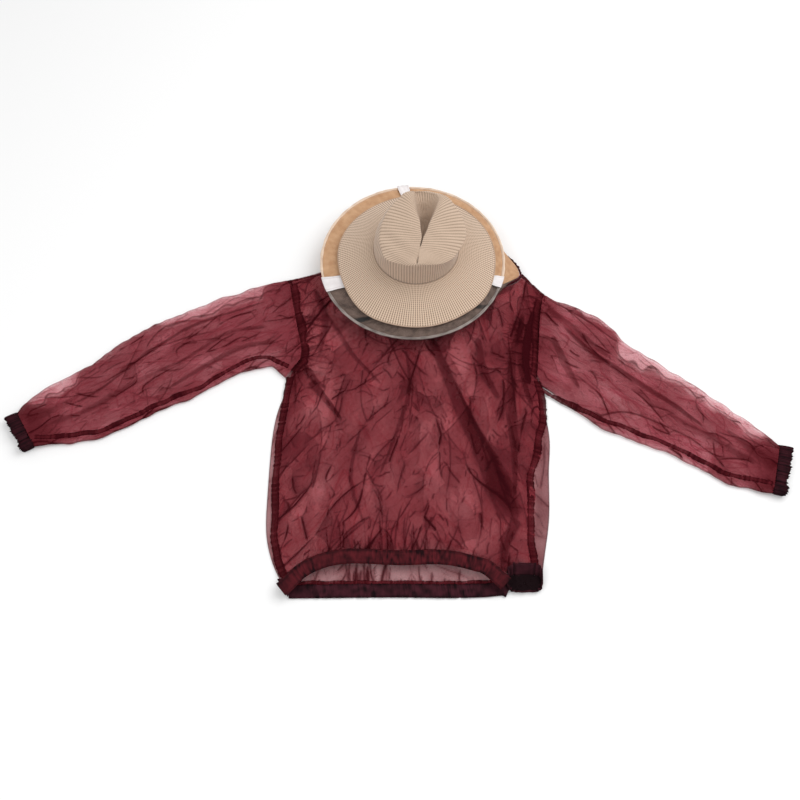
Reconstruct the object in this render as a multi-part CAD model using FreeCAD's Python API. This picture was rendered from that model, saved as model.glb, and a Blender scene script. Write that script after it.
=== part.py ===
import FreeCAD
import Part

import math
import os

# Beekeeping jacket: a light pullover smock with a veil and a hat, lying flat
# on its back.  Millimetres, +Z up from the floor, +X across the sleeves towards
# the wearer's left hand as the jacket lies, +Y from the hem towards the hat.
# Left and right in the names are as seen from above with the hem nearest.
# The origin is on the floor, in the middle of the whole outline.

V = FreeCAD.Vector

# ---------------------------------------------------------------- sizes
CLOTH = 3.0               # wall of a plain soft panel
GAP = 0.3                 # free space between neighbouring pieces
BODY_TOP = 27.0           # top of the front panel, jacket lying flat
SLEEVE_TOP = 20.5         # top of a sleeve lying flat
SLEEVE_WALL = 2.5
EDGE_WALL = 5.0           # width of the folded or sewn edge between two layers
SEAM_WIDTH = 12.0         # armhole seam allowance
SEAM_RISE = 2.0
HEM_DEPTH = 31.0          # hem casing, edge to stitching
HEM_RISE = 7.0
ELASTIC_WIDTH = 15.0
ELASTIC_THICKNESS = 1.2
CUFF_RISE = 22.0
CUFF_WIDTH = 30.0
CUFF_WALL = 4.0
LOOP_X, LOOP_Y = 274.0, -478.0          # slack hem end at the right corner
LOOP_A, LOOP_B, LOOP_WALL = 35.0, 29.0, 3.0
REACH = 700.0             # farther than any edge, for trimming

# The fold lines of the sleeves: a start at the shoulder, a tilt away from
# straight down the body, and a length to the sleeve's lower edge.
LEFT_SHOULDER = (-268.0, 278.0)
LEFT_TILT = 14.0
LEFT_FOLD = 253.0
RIGHT_SHOULDER = (358.0, 235.0)
RIGHT_TILT = -6.0
RIGHT_FOLD = 297.6

# Neckline: an ellipse under the hat, its front drawn in towards the +X end.
NECK_X, NECK_Y = 65.0, 285.0
NECK_A, NECK_B = 237.0, 120.0
NECK_DRAWN = 0.5          # share of the front depth lost where it is drawn in
NECK_DRAW_START, NECK_DRAW_FULL = 0.3, 0.8          # along the half width
NECK_STEPS = 60
COLLAR_HEIGHT = 12.0

# Hoop in the veil, and the hat.
HOOP_X, HOOP_Y, HOOP_Z = 38.0, 300.0, 60.0
HOOP_RADIUS = 218.0
HOOP_WIRE = 1.5
HOOP_BINDING = 4.0
BRIM_X, BRIM_Y, BRIM_Z = 46.0, 291.0, 76.0
BRIM_RADIUS = 187.0
BRIM_THICKNESS = 2.6
CROWN_Y = 299.0
CROWN_RADIUS = 100.0
CROWN_BASE = 110.0
CROWN_WALL = 3.0
CROWN_FRONT, CROWN_BACK = 187.0, 214.0
ROOF_RADIUS = 93.0        # half depth of the crown at its sloping roof
CROWN_SECTIONS = [(100, 100, CROWN_BASE + GAP), (99, 98, 150), (96, ROOF_RADIUS, 230)]
DENT_X = 20.0             # the dent's wide end lies to the right of the middle
DENT_TIP_X = 2.0
VEIL = 0.8
SKIRT = 1.5
VEIL_SPLIT_Y = 236.0      # tan mesh behind this line, black net in front
TAPE_WIDTH = 36.0
TAPE_ANGLES = {"left": 197, "right": -17, "back": 94}


# ---------------------------------------------------------------- helpers
def export(shape, name):
    shape.exportStep("parts/%s.step" % name)


def flat(points, z):
    return [V(x, y, z) for x, y in points]


def curve(points, z=0.0):
    """Smooth edge through the points."""
    line = Part.BSplineCurve()
    line.interpolate(flat(points, z))
    return line.toShape()


def straight(a, b, z=0.0):
    return Part.LineSegment(V(a[0], a[1], z), V(b[0], b[1], z)).toShape()


def prism(edges, low, high):
    """Solid over the closed outline drawn by the edges, which lie at z = 0."""
    face = Part.Face(Part.Wire(edges))
    face.translate(V(0, 0, low))
    return face.extrude(V(0, 0, high - low))


def polygon(points, low, high):
    ends = points[1:] + points[:1]
    return prism([straight(a, b) for a, b in zip(points, ends)], low, high)


def offset_path(points, distance, steps=24):
    """Points along the smooth path, moved sideways to its left."""
    edge = curve(points)
    first, last = edge.FirstParameter, edge.LastParameter
    result = []
    for i in range(steps + 1):
        at = first + (last - first) * i / steps
        tangent = edge.tangentAt(at)
        spot = edge.valueAt(at)
        result.append((spot.x - tangent.y * distance, spot.y + tangent.x * distance))
    return result


def band(points, left, right, low, high):
    """Strip along the smooth path, reaching left and right of it."""
    one = offset_path(points, left)
    other = offset_path(points, -right)
    edges = [curve(one), straight(one[-1], other[-1]), curve(other), straight(other[0], one[0])]
    return prism(edges, low, high)


def ring_face(a, b, x, y, z):
    """Filled ellipse, a along X and b along Y."""
    major, minor, turn = (a, b, 0.0) if a >= b else (b, a, 90.0)
    if major == minor:
        edge = Part.Circle(V(0, 0, 0), V(0, 0, 1), major).toShape()
    else:
        edge = Part.Ellipse(V(0, 0, 0), major, minor).toShape()
    edge.rotate(V(0, 0, 0), V(0, 0, 1), turn)
    edge.translate(V(x, y, z))
    return Part.Wire([edge])


def disc(a, b, x, y, low, high):
    return Part.Face(ring_face(a, b, x, y, low)).extrude(V(0, 0, high - low))


def loft(wires):
    return Part.makeLoft(wires, True, True)


def block(x0, x1, y0, y1, z0, z1):
    return Part.makeBox(x1 - x0, y1 - y0, z1 - z0, V(x0, y0, z0))


def fold_end(shoulder, tilt, length):
    angle = math.radians(tilt)
    return (shoulder[0] - math.sin(angle) * length, shoulder[1] - math.cos(angle) * length)


LEFT_LOWER = fold_end(LEFT_SHOULDER, LEFT_TILT, LEFT_FOLD)
RIGHT_LOWER = fold_end(RIGHT_SHOULDER, RIGHT_TILT, RIGHT_FOLD)

# ---------------------------------------------------------------- outlines
# Body outline, down the left edge from the fold line to the hem corner,
# then up the right edge.
LEFT_EDGE = [LEFT_LOWER, (-292, 38), (-257, 8), (-266, -60), (-280, -150), (-283, -290),
             (-279, -386), (-262, -446), (-216, -520)]
RIGHT_EDGE = [(306, -508), (313, -449), (332, -340), (339, -220), (340, -96), (335, -14),
              (352, -28), RIGHT_LOWER]
NECK_LEFT = (-166, 306)
NECK_RIGHT = (302, 296)

# Upper stitching line of the front hem casing, which is drawn up in an arch.
FRONT_HEM = [(-238, -486), (-206, -453), (-166, -432), (-98, -419), (8, -423), (93, -421),
             (178, -439), (234, -464)]
BACK_HEM = [(-226, -489), (-118, -488), (8, -487), (134, -488), (234, -482)]
HEM_END = 236.0
ELASTIC_LEFT, ELASTIC_RIGHT = -185.0, 215.0

LEFT_TOP = [(-379, 243), (-472, 203), (-518, 178), (-608, 130), (-694, 57), (-775, 3),
            (-831, -39), (-861, -86)]
LEFT_BOTTOM = [(-810, -170), (-757, -162), (-668, -148), (-604, -116), (-529, -75),
               (-452, -36), (-364, 20)]
RIGHT_TOP = [(393, 215), (485, 167), (530, 114), (593, 57), (700, -23), (772, -83),
             (812, -121), (856, -168)]
RIGHT_BOTTOM = [(824, -284), (747, -264), (695, -238), (633, -198), (548, -159), (461, -121)]


def body_outline():
    return [curve(LEFT_EDGE), straight(LEFT_EDGE[-1], RIGHT_EDGE[0]), curve(RIGHT_EDGE),
            straight(RIGHT_LOWER, RIGHT_SHOULDER), straight(RIGHT_SHOULDER, NECK_RIGHT),
            straight(NECK_RIGHT, NECK_LEFT), straight(NECK_LEFT, LEFT_SHOULDER),
            straight(LEFT_SHOULDER, LEFT_LOWER)]


def body_prism(low, high):
    return prism(body_outline(), low, high)


def neck_spot(turn):
    across, along = math.cos(turn), math.sin(turn)
    share = (across - NECK_DRAW_START) / (NECK_DRAW_FULL - NECK_DRAW_START)
    share = min(max(share, 0.0), 1.0)
    if along < 0:
        along *= 1 - NECK_DRAWN * share * share * (3 - 2 * share)
    return NECK_X + NECK_A * across, NECK_Y + NECK_B * along


def neck_ring(grow):
    """Neckline as a closed wire at z = 0, moved outward by grow."""
    spots = []
    step = 2 * math.pi / NECK_STEPS
    for i in range(NECK_STEPS):
        turn = i * step
        x, y = neck_spot(turn)
        ahead, behind = neck_spot(turn + step / 20), neck_spot(turn - step / 20)
        dx, dy = ahead[0] - behind[0], ahead[1] - behind[1]
        length = math.hypot(dx, dy)
        spots.append(V(x + grow * dy / length, y - grow * dx / length, 0))
    line = Part.BSplineCurve()
    line.interpolate(spots, PeriodicFlag=True)
    return Part.Wire([line.toShape()])


def neck_prism(grow, low, high):
    face = Part.Face(neck_ring(grow))
    face.translate(V(0, 0, low))
    return face.extrude(V(0, 0, high - low))


def below(path, drop, low, high):
    """Everything on the hem side of a stitching line moved down by drop."""
    line = [(x, y - drop) for x, y in path]
    corners = [line[-1], (REACH, line[-1][1]), (REACH, -REACH), (-REACH, -REACH),
               (-REACH, line[0][1]), line[0]]
    edges = [curve(line)]
    for a, b in zip(corners, corners[1:]):
        edges.append(straight(a, b))
    return prism(edges, low, high)


# ---------------------------------------------------------------- jacket body
def back_panel():
    panel = body_prism(0, CLOTH).fuse(neck_prism(0, 0, CLOTH)).removeSplitter()
    hem = below(BACK_HEM, -GAP, -1, CLOTH + 1)
    panel = panel.cut(hem.common(block(-REACH, HEM_END + GAP, -REACH, 0, -2, CLOTH + 2)))
    return panel.cut(band(BACK_HEM, GAP, HEM_DEPTH, -1, CLOTH + 1))


def front_panel():
    low = BODY_TOP - CLOTH
    panel = body_prism(low, BODY_TOP).cut(neck_prism(1, low - 1, BODY_TOP + 1))
    panel = panel.cut(below(FRONT_HEM, -GAP, low - 1, BODY_TOP + 1))
    return panel


def side_seam(side):
    """Sewn edge between the two panels, from the sleeve's fold to the hem."""
    low, high = CLOTH + GAP, BODY_TOP - CLOTH - GAP
    path = LEFT_EDGE if side == "left" else RIGHT_EDGE
    strip = band(path, EDGE_WALL, 0, low, high)
    return strip.common(block(-324, 384, -440, 60, 0, 40))


def shoulder_seam(side):
    low, high = CLOTH + GAP, BODY_TOP - CLOTH - GAP
    if side == "left":
        (x0, y0), (x1, y1) = LEFT_SHOULDER, NECK_LEFT
    else:
        (x0, y0), (x1, y1) = NECK_RIGHT, RIGHT_SHOULDER
    corners = [(x0, y0), (x1, y1), (x1, y1 - EDGE_WALL), (x0, y0 - EDGE_WALL)]
    return polygon(corners, low, high).cut(neck_prism(1, low - 1, high + 1))


def armhole_seam(side):
    low = BODY_TOP + GAP
    paths = {"left": [(-258, 262), (-247, 203), (-229, 113), (-224, 55), (-248, 24)],
             "right": [(350, 222), (338, 146), (331, 70), (324, 8)]}
    half = SEAM_WIDTH / 2
    return band(paths[side], half, half, low, low + SEAM_RISE)


def hem_casing(path, floor):
    """Folded casing round the elastic's channel."""
    casing = band(path, 0, HEM_DEPTH, floor, floor + HEM_RISE)
    return casing.cut(hem_elastic(path, floor, 0.4))


def hem_elastic(path, floor, grow=0.0):
    top = (HEM_DEPTH - ELASTIC_WIDTH) / 2 - grow
    bottom = top + ELASTIC_WIDTH + 2 * grow
    middle = floor + HEM_RISE / 2
    half = ELASTIC_THICKNESS / 2 + grow
    strip = band(path, -top, bottom, middle - half, middle + half)
    return strip.common(block(ELASTIC_LEFT - grow, ELASTIC_RIGHT + grow, -REACH, 0, -1, 40))


def hem_corner_loop():
    """Slack end of the hem that stands up in a ring at the right corner."""
    low, high = CLOTH + GAP, BODY_TOP - CLOTH - GAP
    ring = disc(LOOP_A, LOOP_B, LOOP_X, LOOP_Y, low, high)
    inner_a, inner_b = LOOP_A - LOOP_WALL, LOOP_B - LOOP_WALL
    return ring.cut(disc(inner_a, inner_b, LOOP_X, LOOP_Y, low - 1, high + 1))


def collar_band():
    """Low stand collar, lying from the front panel down to the back panel."""
    ring = neck_prism(-1, 0, COLLAR_HEIGHT).cut(neck_prism(-4, -1, COLLAR_HEIGHT + 1))
    return ring.transformGeometry(collar_slope(0.0))


def collar_slope(rise):
    """Shear that lays the collar between the two panels, front edge high."""
    back = CLOTH + GAP
    front = BODY_TOP + GAP
    slope = (back - front) / (2 * NECK_B)
    matrix = FreeCAD.Matrix()
    matrix.A32 = slope
    matrix.A34 = back + rise - slope * (NECK_Y + NECK_B)
    return matrix


# ---------------------------------------------------------------- sleeves
def sleeve_points(side):
    if side == "left":
        start, end, top, bottom = LEFT_SHOULDER, LEFT_LOWER, LEFT_TOP, LEFT_BOTTOM
        out = -1.5
    else:
        start, end, top, bottom = RIGHT_SHOULDER, RIGHT_LOWER, RIGHT_TOP, RIGHT_BOTTOM
        out = 1.5
    first = (start[0] + out, start[1])
    last = (end[0] + out, end[1])
    return [first] + top, bottom + [last]


def sleeve_outline(side):
    top, bottom = sleeve_points(side)
    return [curve(top), straight(top[-1], bottom[0]), curve(bottom), straight(bottom[-1], top[0])]


def sleeve_layer(side, low, high):
    return prism(sleeve_outline(side), low, high)


def sleeve_edge(side, which):
    """Folded top edge or sewn underarm edge between the two layers."""
    top, bottom = sleeve_points(side)
    low, high = SLEEVE_WALL + GAP, SLEEVE_TOP - SLEEVE_WALL - GAP
    path = top if which == "top" else bottom
    strip = band(path, EDGE_WALL, EDGE_WALL, low, high)
    return strip.common(sleeve_layer(side, low - 1, high + 1))


def cuff_frame(side):
    """Middle of the cuff's sleeve-side edge, its heading and its length."""
    top, bottom = sleeve_points(side)
    a, b = top[-1], bottom[0]
    middle = ((a[0] + b[0]) / 2, (a[1] + b[1]) / 2)
    across = (b[0] - a[0], b[1] - a[1])
    length = math.hypot(*across)
    heading = math.degrees(math.atan2(across[1], across[0]))
    heading += -90 if side == "left" else 90
    return middle, heading, length


def cuff_box(side, inset, low, high, start, width):
    middle, heading, length = cuff_frame(side)
    half = length / 2 - inset
    box = block(start, start + width, -half, half, low, high)
    box.rotate(V(0, 0, 0), V(0, 0, 1), heading)
    box.translate(V(middle[0], middle[1], 0))
    return box


def cuff_casing(side):
    outer = cuff_box(side, 0, 0, CUFF_RISE, 1, CUFF_WIDTH)
    inner = cuff_box(side, CUFF_WALL, CUFF_WALL, CUFF_RISE - CUFF_WALL, 0, CUFF_WIDTH + 2)
    return outer.cut(inner).cut(cuff_elastic(side, 0.4))


def cuff_elastic(side, grow=0.0):
    """Flat elastic loop in the casing's inner channel."""
    depth = CUFF_WALL - ELASTIC_THICKNESS - 0.6
    start = 1 + (CUFF_WIDTH - ELASTIC_WIDTH) / 2 - grow
    width = ELASTIC_WIDTH + 2 * grow
    outer = cuff_box(side, depth - grow, depth - grow, CUFF_RISE - depth + grow, start, width)
    near = depth + ELASTIC_THICKNESS + grow
    return outer.cut(cuff_box(side, near, near, CUFF_RISE - near, start - 1, width + 2))


# ---------------------------------------------------------------- veil
def hoop_wire():
    return Part.makeTorus(HOOP_RADIUS, HOOP_WIRE, V(HOOP_X, HOOP_Y, HOOP_Z))


def hoop_binding():
    """Tape sewn round the wire, closed but for its stitched slit."""
    outer = Part.Face(Part.Wire(Part.makeCircle(HOOP_BINDING, V(0, 0, 0), V(0, 1, 0))))
    inner = Part.Face(Part.Wire(Part.makeCircle(HOOP_WIRE + GAP, V(0, 0, 0), V(0, 1, 0))))
    slit = Part.makePlane(2 * HOOP_BINDING, 1.0, V(-2 * HOOP_BINDING, 0, 0.5), V(0, 1, 0))
    profile = outer.cut(inner)
    profile = profile.cut(slit)
    profile.translate(V(HOOP_RADIUS, 0, 0))
    ring = profile.revolve(V(0, 0, 0), V(0, 0, 1), 360)
    ring.translate(V(HOOP_X, HOOP_Y, HOOP_Z))
    return ring


def veil_top(rise, thickness):
    """Cone of netting from under the brim's edge out to the hoop."""
    low, high = HOOP_Z, BRIM_Z - 6.5
    outer_radius, inner_radius = HOOP_RADIUS - HOOP_BINDING - 1.5, BRIM_RADIUS - 3

    def cone(shift):
        bottom = ring_face(outer_radius, outer_radius, HOOP_X, HOOP_Y, low + shift)
        top = ring_face(inner_radius, inner_radius, BRIM_X, BRIM_Y, high + shift)
        return loft([bottom, top])

    skin = cone(rise + thickness).cut(cone(rise))
    hole = disc(inner_radius - 1, inner_radius - 1, BRIM_X, BRIM_Y, 0, REACH)
    return skin.cut(hole)


def back_half():
    return block(-REACH, REACH, VEIL_SPLIT_Y, REACH, 0, REACH)


def front_half():
    return block(-REACH, REACH, -REACH, VEIL_SPLIT_Y - GAP, 0, REACH)


def veil_skirt():
    """Netting that hangs from the hoop into the collar, bunched while flat."""
    def cone(inset):
        bottom = neck_ring(-6 - inset).transformGeometry(collar_slope(COLLAR_HEIGHT + 1))
        radius = HOOP_RADIUS - HOOP_BINDING - 2 - inset
        top = ring_face(radius, radius, HOOP_X, HOOP_Y, HOOP_Z - HOOP_BINDING)
        return loft([bottom, top])

    return cone(0).cut(cone(SKIRT))


def tape(angle):
    """White binding tape over the veil's seam, from brim edge to hoop."""
    strip = veil_top(VEIL + GAP, VEIL)
    half = TAPE_WIDTH / 2
    box = block(0, REACH, -half, half, 0, REACH)
    box.rotate(V(0, 0, 0), V(0, 0, 1), angle)
    box.translate(V(HOOP_X, HOOP_Y, 0))
    return strip.common(box)


# ---------------------------------------------------------------- hat
def hat_brim():
    def cone(shift):
        bottom = ring_face(BRIM_RADIUS, BRIM_RADIUS, BRIM_X, BRIM_Y, BRIM_Z + shift)
        top = ring_face(CROWN_RADIUS, CROWN_RADIUS, BRIM_X, CROWN_Y, CROWN_BASE + shift)
        return loft([bottom, top])

    inner = CROWN_RADIUS - CROWN_WALL
    skin = cone(0).cut(cone(-BRIM_THICKNESS))
    return skin.cut(disc(inner, inner, BRIM_X, CROWN_Y, 0, REACH))


def brim_wire():
    return Part.makeTorus(BRIM_RADIUS + 2.4, 2.0, V(BRIM_X, BRIM_Y, BRIM_Z + 0.5))


def crown_form(inset):
    """Tapered crown with a sloping top and a teardrop dent, as a full solid."""
    sections = []
    for a, b, z in CROWN_SECTIONS:
        sections.append(ring_face(a - inset, b - inset, BRIM_X, CROWN_Y, z))
    form = Part.makeLoft(sections, True, False)
    slope = math.degrees(math.atan2(CROWN_BACK - CROWN_FRONT, 2 * ROOF_RADIUS))
    above = block(-REACH, REACH, -REACH, REACH, 0, REACH)
    above.rotate(V(0, 0, 0), V(1, 0, 0), slope)
    above.translate(V(BRIM_X, CROWN_Y - ROOF_RADIUS, CROWN_FRONT - inset))
    return form.cut(above).cut(crown_dent(inset))


def crown_dent(grow):
    wires = []
    for tip, back, half, z in ((268, 352, 9, 156 - grow), (206, 382, 37, 216), (180, 396, 52, 242)):
        corners = [(BRIM_X + DENT_TIP_X, tip - 2 * grow),
                   (BRIM_X + DENT_X + half + grow, back + grow),
                   (BRIM_X + DENT_X - half - grow, back + grow)]
        corners.append(corners[0])
        wires.append(Part.makePolygon(flat(corners, z)))
    return Part.makeLoft(wires, True, True)


def hat_crown():
    cavity = crown_form(CROWN_WALL)
    inner = CROWN_RADIUS - CROWN_WALL
    mouth = disc(inner, inner, BRIM_X, CROWN_Y, 100, CROWN_BASE + 2)
    return crown_form(0.0).cut(cavity).cut(mouth)


def sweatband():
    outer = CROWN_RADIUS - CROWN_WALL - 2.6
    low, high = CROWN_BASE + 2, CROWN_BASE + 26
    ring = disc(outer, outer, BRIM_X, CROWN_Y, low, high)
    return ring.cut(disc(outer - 1.5, outer - 1.5, BRIM_X, CROWN_Y, low - 1, high + 1))


def main():
    os.makedirs("parts", exist_ok=True)
    export(back_panel(), "back_panel")
    export(front_panel(), "front_panel")
    for side in ("left", "right"):
        export(side_seam(side), "side_seam_" + side)
        export(shoulder_seam(side), "shoulder_seam_" + side)
        export(armhole_seam(side), "armhole_seam_" + side)
    front_floor = BODY_TOP - HEM_RISE
    export(hem_casing(FRONT_HEM, front_floor), "hem_casing_front")
    export(hem_elastic(FRONT_HEM, front_floor), "hem_elastic_front")
    export(hem_casing(BACK_HEM, 0.0), "hem_casing_back")
    export(hem_elastic(BACK_HEM, 0.0), "hem_elastic_back")
    export(hem_corner_loop(), "hem_corner_loop")
    export(collar_band(), "collar_band")

    for side in ("left", "right"):
        export(sleeve_layer(side, 0, SLEEVE_WALL), "sleeve_lower_" + side)
        export(sleeve_layer(side, SLEEVE_TOP - SLEEVE_WALL, SLEEVE_TOP), "sleeve_upper_" + side)
        export(sleeve_edge(side, "top"), "sleeve_fold_" + side)
        export(sleeve_edge(side, "under"), "underarm_seam_" + side)
        export(cuff_casing(side), "cuff_casing_" + side)
        export(cuff_elastic(side), "cuff_elastic_" + side)

    export(hoop_wire(), "hoop_wire")
    export(hoop_binding(), "hoop_binding")
    top = veil_top(0, VEIL)
    skirt = veil_skirt()
    export(top.common(back_half()), "veil_top_tan")
    export(top.common(front_half()), "veil_top_net")
    export(skirt.common(back_half()), "veil_skirt_tan")
    export(skirt.common(front_half()), "veil_skirt_net")
    for name, angle in TAPE_ANGLES.items():
        export(tape(angle), "tape_" + name)

    export(hat_crown(), "hat_crown")
    export(hat_brim(), "hat_brim")
    export(brim_wire(), "brim_wire")
    export(sweatband(), "sweatband")


main()
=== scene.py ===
"""Beekeeping jacket lying flat: organza smock, hooped veil and knitted hat around the CAD frame.

Metres throughout.  Places come from the CAD nodes; the rest are named sizes.
"""
import math

import bpy
import numpy as np
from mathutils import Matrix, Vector
from mathutils.bvhtree import BVHTree


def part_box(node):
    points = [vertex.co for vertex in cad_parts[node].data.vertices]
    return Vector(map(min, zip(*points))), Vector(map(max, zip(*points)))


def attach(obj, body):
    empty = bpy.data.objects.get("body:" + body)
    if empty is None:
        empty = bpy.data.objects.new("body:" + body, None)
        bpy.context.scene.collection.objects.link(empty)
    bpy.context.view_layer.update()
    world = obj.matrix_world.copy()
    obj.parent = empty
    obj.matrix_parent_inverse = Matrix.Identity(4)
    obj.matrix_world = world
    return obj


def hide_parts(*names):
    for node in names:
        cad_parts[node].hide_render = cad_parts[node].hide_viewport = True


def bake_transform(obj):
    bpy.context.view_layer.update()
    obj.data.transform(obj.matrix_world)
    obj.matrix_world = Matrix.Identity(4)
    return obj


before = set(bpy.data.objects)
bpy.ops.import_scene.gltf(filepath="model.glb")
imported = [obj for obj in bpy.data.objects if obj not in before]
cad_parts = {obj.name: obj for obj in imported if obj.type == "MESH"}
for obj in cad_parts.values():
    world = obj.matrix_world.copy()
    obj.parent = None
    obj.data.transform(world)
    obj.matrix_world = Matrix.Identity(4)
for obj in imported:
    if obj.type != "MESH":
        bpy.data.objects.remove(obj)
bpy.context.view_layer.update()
MM = 0.001

# Cloth grid, and how the layers lie above the floor.
BODY_STEP = 2.06 * MM
BACK_STEP = 2.4 * MM
SLEEVE_STEP = 2.05 * MM
FLOOR_GAP = 1.2 * MM
LAYER_PUFF = 13 * MM          # how far the front layer stands off the back one
EDGE_ROUND = 45 * MM          # how far in from an edge the puff builds up
SLEEVE_PUFF = 11 * MM
SEAM_STRIP = 17 * MM
CASING_DEPTH = 31 * MM
CASING_THICK = 2.6 * MM
CUFF_GATHERS = 30
LOOP_X, LOOP_Y = 0.271, -0.487    # middle of the foot of the slack loop at the hem's corner
LOOP_A, LOOP_B = 36 * MM, 19 * MM     # half its sizes there
SHEET_APART = 0.4             # shifts a lower layer's pattern, so that it isn't the upper one's
SIDES = ("left", "right")

BRIM_RIBS = 200               # knit ribs round the brim and round the crown
CROWN_RIBS = 96
COURSE = 4.2 * MM             # height of one knitted row
BRIM_DEPTH = 88 * MM          # length of the knit from the crown to the brim's edge

# Sheer cloth: how much one layer hides, tones by number of layers, and its fine
# creases (scale per metre, squeeze across, width, strength).
LAYER_ALPHA = 0.57
MOST_LAYERS = 4.0
# The lightest tones are partly the cloth's red and partly painted glow of floor light shining up through the
# thin cloth.
ORGANZA_TONES = [(0.08, (0.68, 0.09, 0.12)), (0.25, (0.280, 0.038, 0.049)), (0.5, (0.115, 0.014, 0.020)),
                 (0.75, (0.066, 0.007, 0.010)), (1.0, (0.034, 0.003, 0.005))]
SLEEVE_TONES = [(0.08, (0.70, 0.12, 0.17)), (0.25, (0.305, 0.052, 0.068)), (0.5, (0.125, 0.018, 0.024)),
                (0.75, (0.07, 0.007, 0.010)), (1.0, (0.034, 0.003, 0.005))]
FINE_CREASES = ((14.0, 3.0, 0.010, 0.75), (34.0, 2.4, 0.016, 0.45))
BODY_DENSITY_AND_SHADE = 0.20              # the body's cloth looks darker than the sleeves': partly its many creases, partly painted shade of its crumples and of the hat above it
NET_CELL = 2.3 * MM

# Camera angle in degrees above the floor, lens in millimetres, and the studio.
CAMERA_TARGET = (0.008, -0.0465, 0.0)
CAMERA_ELEVATION = 62.0
CAMERA_DISTANCE = 2.6
CAMERA_LENS = 50.94
SENSOR = 36.0
FLOOR_REACH = 8.0             # half the width of the floor
# Lamps: name, place, width of its square, watts.
LAMPS = (("key", (1.6, 0.8, 2.4), 2.6, 46), ("fill", (-1.3, -1.2, 2.2), 2.0, 14))


# ------------------------------------------------------------ frame measures
def node_points(name):
    """The corners of a CAD node's mesh."""
    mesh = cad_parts[name].data
    points = np.zeros(len(mesh.vertices) * 3)
    mesh.vertices.foreach_get("co", points)
    return points.reshape(-1, 3)


def outline(name):
    """Ordered loop of XY points round the upper face of a flat CAD node."""
    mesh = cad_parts[name].data
    points = node_points(name)
    top = points[:, 2].max()
    key = {}
    merged = [key.setdefault(tuple(np.round(point / (0.02 * MM)).astype(int)), i)
              for i, point in enumerate(points)]
    mesh.calc_loop_triangles()
    follow = {}
    for triangle in mesh.loop_triangles:
        corners = [merged[i] for i in triangle.vertices]
        if min(points[i][2] for i in corners) < top - 0.05 * MM:
            continue
        for a, b in zip(corners, corners[1:] + corners[:1]):
            if (b, a) in follow:
                del follow[(b, a)]
            else:
                follow[(a, b)] = True
    follow = dict(follow.keys())
    loop = [next(iter(follow))]
    while follow[loop[-1]] != loop[0]:
        loop.append(follow[loop[-1]])
    return points[loop][:, :2]


def nearest(loop, point):
    return int(np.argmin(((loop - np.array(point)) ** 2).sum(1)))


def along(loop, start, end, via):
    """The stretch of a closed loop from start to end that passes via."""
    i, j, k = (nearest(loop, p) for p in (start, end, via))
    n = len(loop)
    way = 1 if (k - i) % n <= (j - i) % n else -1
    return loop[[(i + way * s) % n for s in range((way * (j - i)) % n + 1)]]


def casing_top(name):
    """The upper edge of a hem casing, from its left end to its right one."""
    loop = outline(name)
    ends = loop[np.argmin(loop[:, 0])], loop[np.argmax(loop[:, 0])]
    return along(loop, *ends, (0.0, loop[:, 1].max() + 0.01))


def evenly(path, count):
    """count points spaced evenly along a polyline."""
    path = np.asarray(path, float)
    steps = np.linalg.norm(np.diff(path, axis=0), axis=1)
    at = np.concatenate([[0], np.cumsum(steps)])
    want = np.linspace(0, at[-1], count)
    return np.stack([np.interp(want, at, path[:, k]) for k in range(path.shape[1])], 1)


def length_of(path):
    return float(np.linalg.norm(np.diff(np.asarray(path, float), axis=0), axis=1).sum())


def catmull_rom(a, b, c, d, t):
    """The smooth curve's point at share t of the way from b to c."""
    return 0.5 * (2 * b + (c - a) * t + (2 * a - 5 * b + 4 * c - d) * t * t
                  + (3 * b - a - 3 * c + d) * t ** 3)


def smooth_path(points, count=160):
    """Catmull-Rom curve through a few points, evenly spaced."""
    p = np.asarray(points, float)
    p = np.vstack([2 * p[0] - p[1], p, 2 * p[-1] - p[-2]])
    result = [catmull_rom(*p[i - 1:i + 3], t)
              for i in range(1, len(p) - 2) for t in np.linspace(0, 1, 24, endpoint=False)]
    return evenly([*result, p[-2]], count)


def middle_line(name):
    """Centre line, low Y to high Y, of a strip-shaped node that runs mostly along Y."""
    loop = outline(name)
    low, high = loop[:, 1].min(), loop[:, 1].max()
    result = []
    for y in np.linspace(low + 4 * MM, high - 4 * MM, 24):
        ends = []
        for a, b in zip(loop, np.roll(loop, -1, axis=0)):
            if (a[1] - y) * (b[1] - y) <= 0 and a[1] != b[1]:
                ends.append(a[0] + (b[0] - a[0]) * (y - a[1]) / (b[1] - a[1]))
        result.append((0.5 * (min(ends) + max(ends)), y))
    return np.array(result)


# ------------------------------------------------------------ fields
def ease(t):
    t = np.clip(t, 0, 1)
    return t * t * (3 - 2 * t)


def ripple(x, y, seed, size, stretch=(1, 1), waves=14):
    """Smooth random field, about -1 to 1, with features of the given size."""
    rng = np.random.default_rng(seed)
    total = np.zeros_like(x)
    for _ in range(waves):
        angle = rng.uniform(0, math.pi)
        pace = rng.uniform(0.6, 1.7) * math.tau / size
        kx, ky = math.cos(angle) * pace / stretch[0], math.sin(angle) * pace / stretch[1]
        total += np.sin(kx * x + ky * y + rng.uniform(0, math.tau))
    return total / math.sqrt(waves * 1.4)


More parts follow.
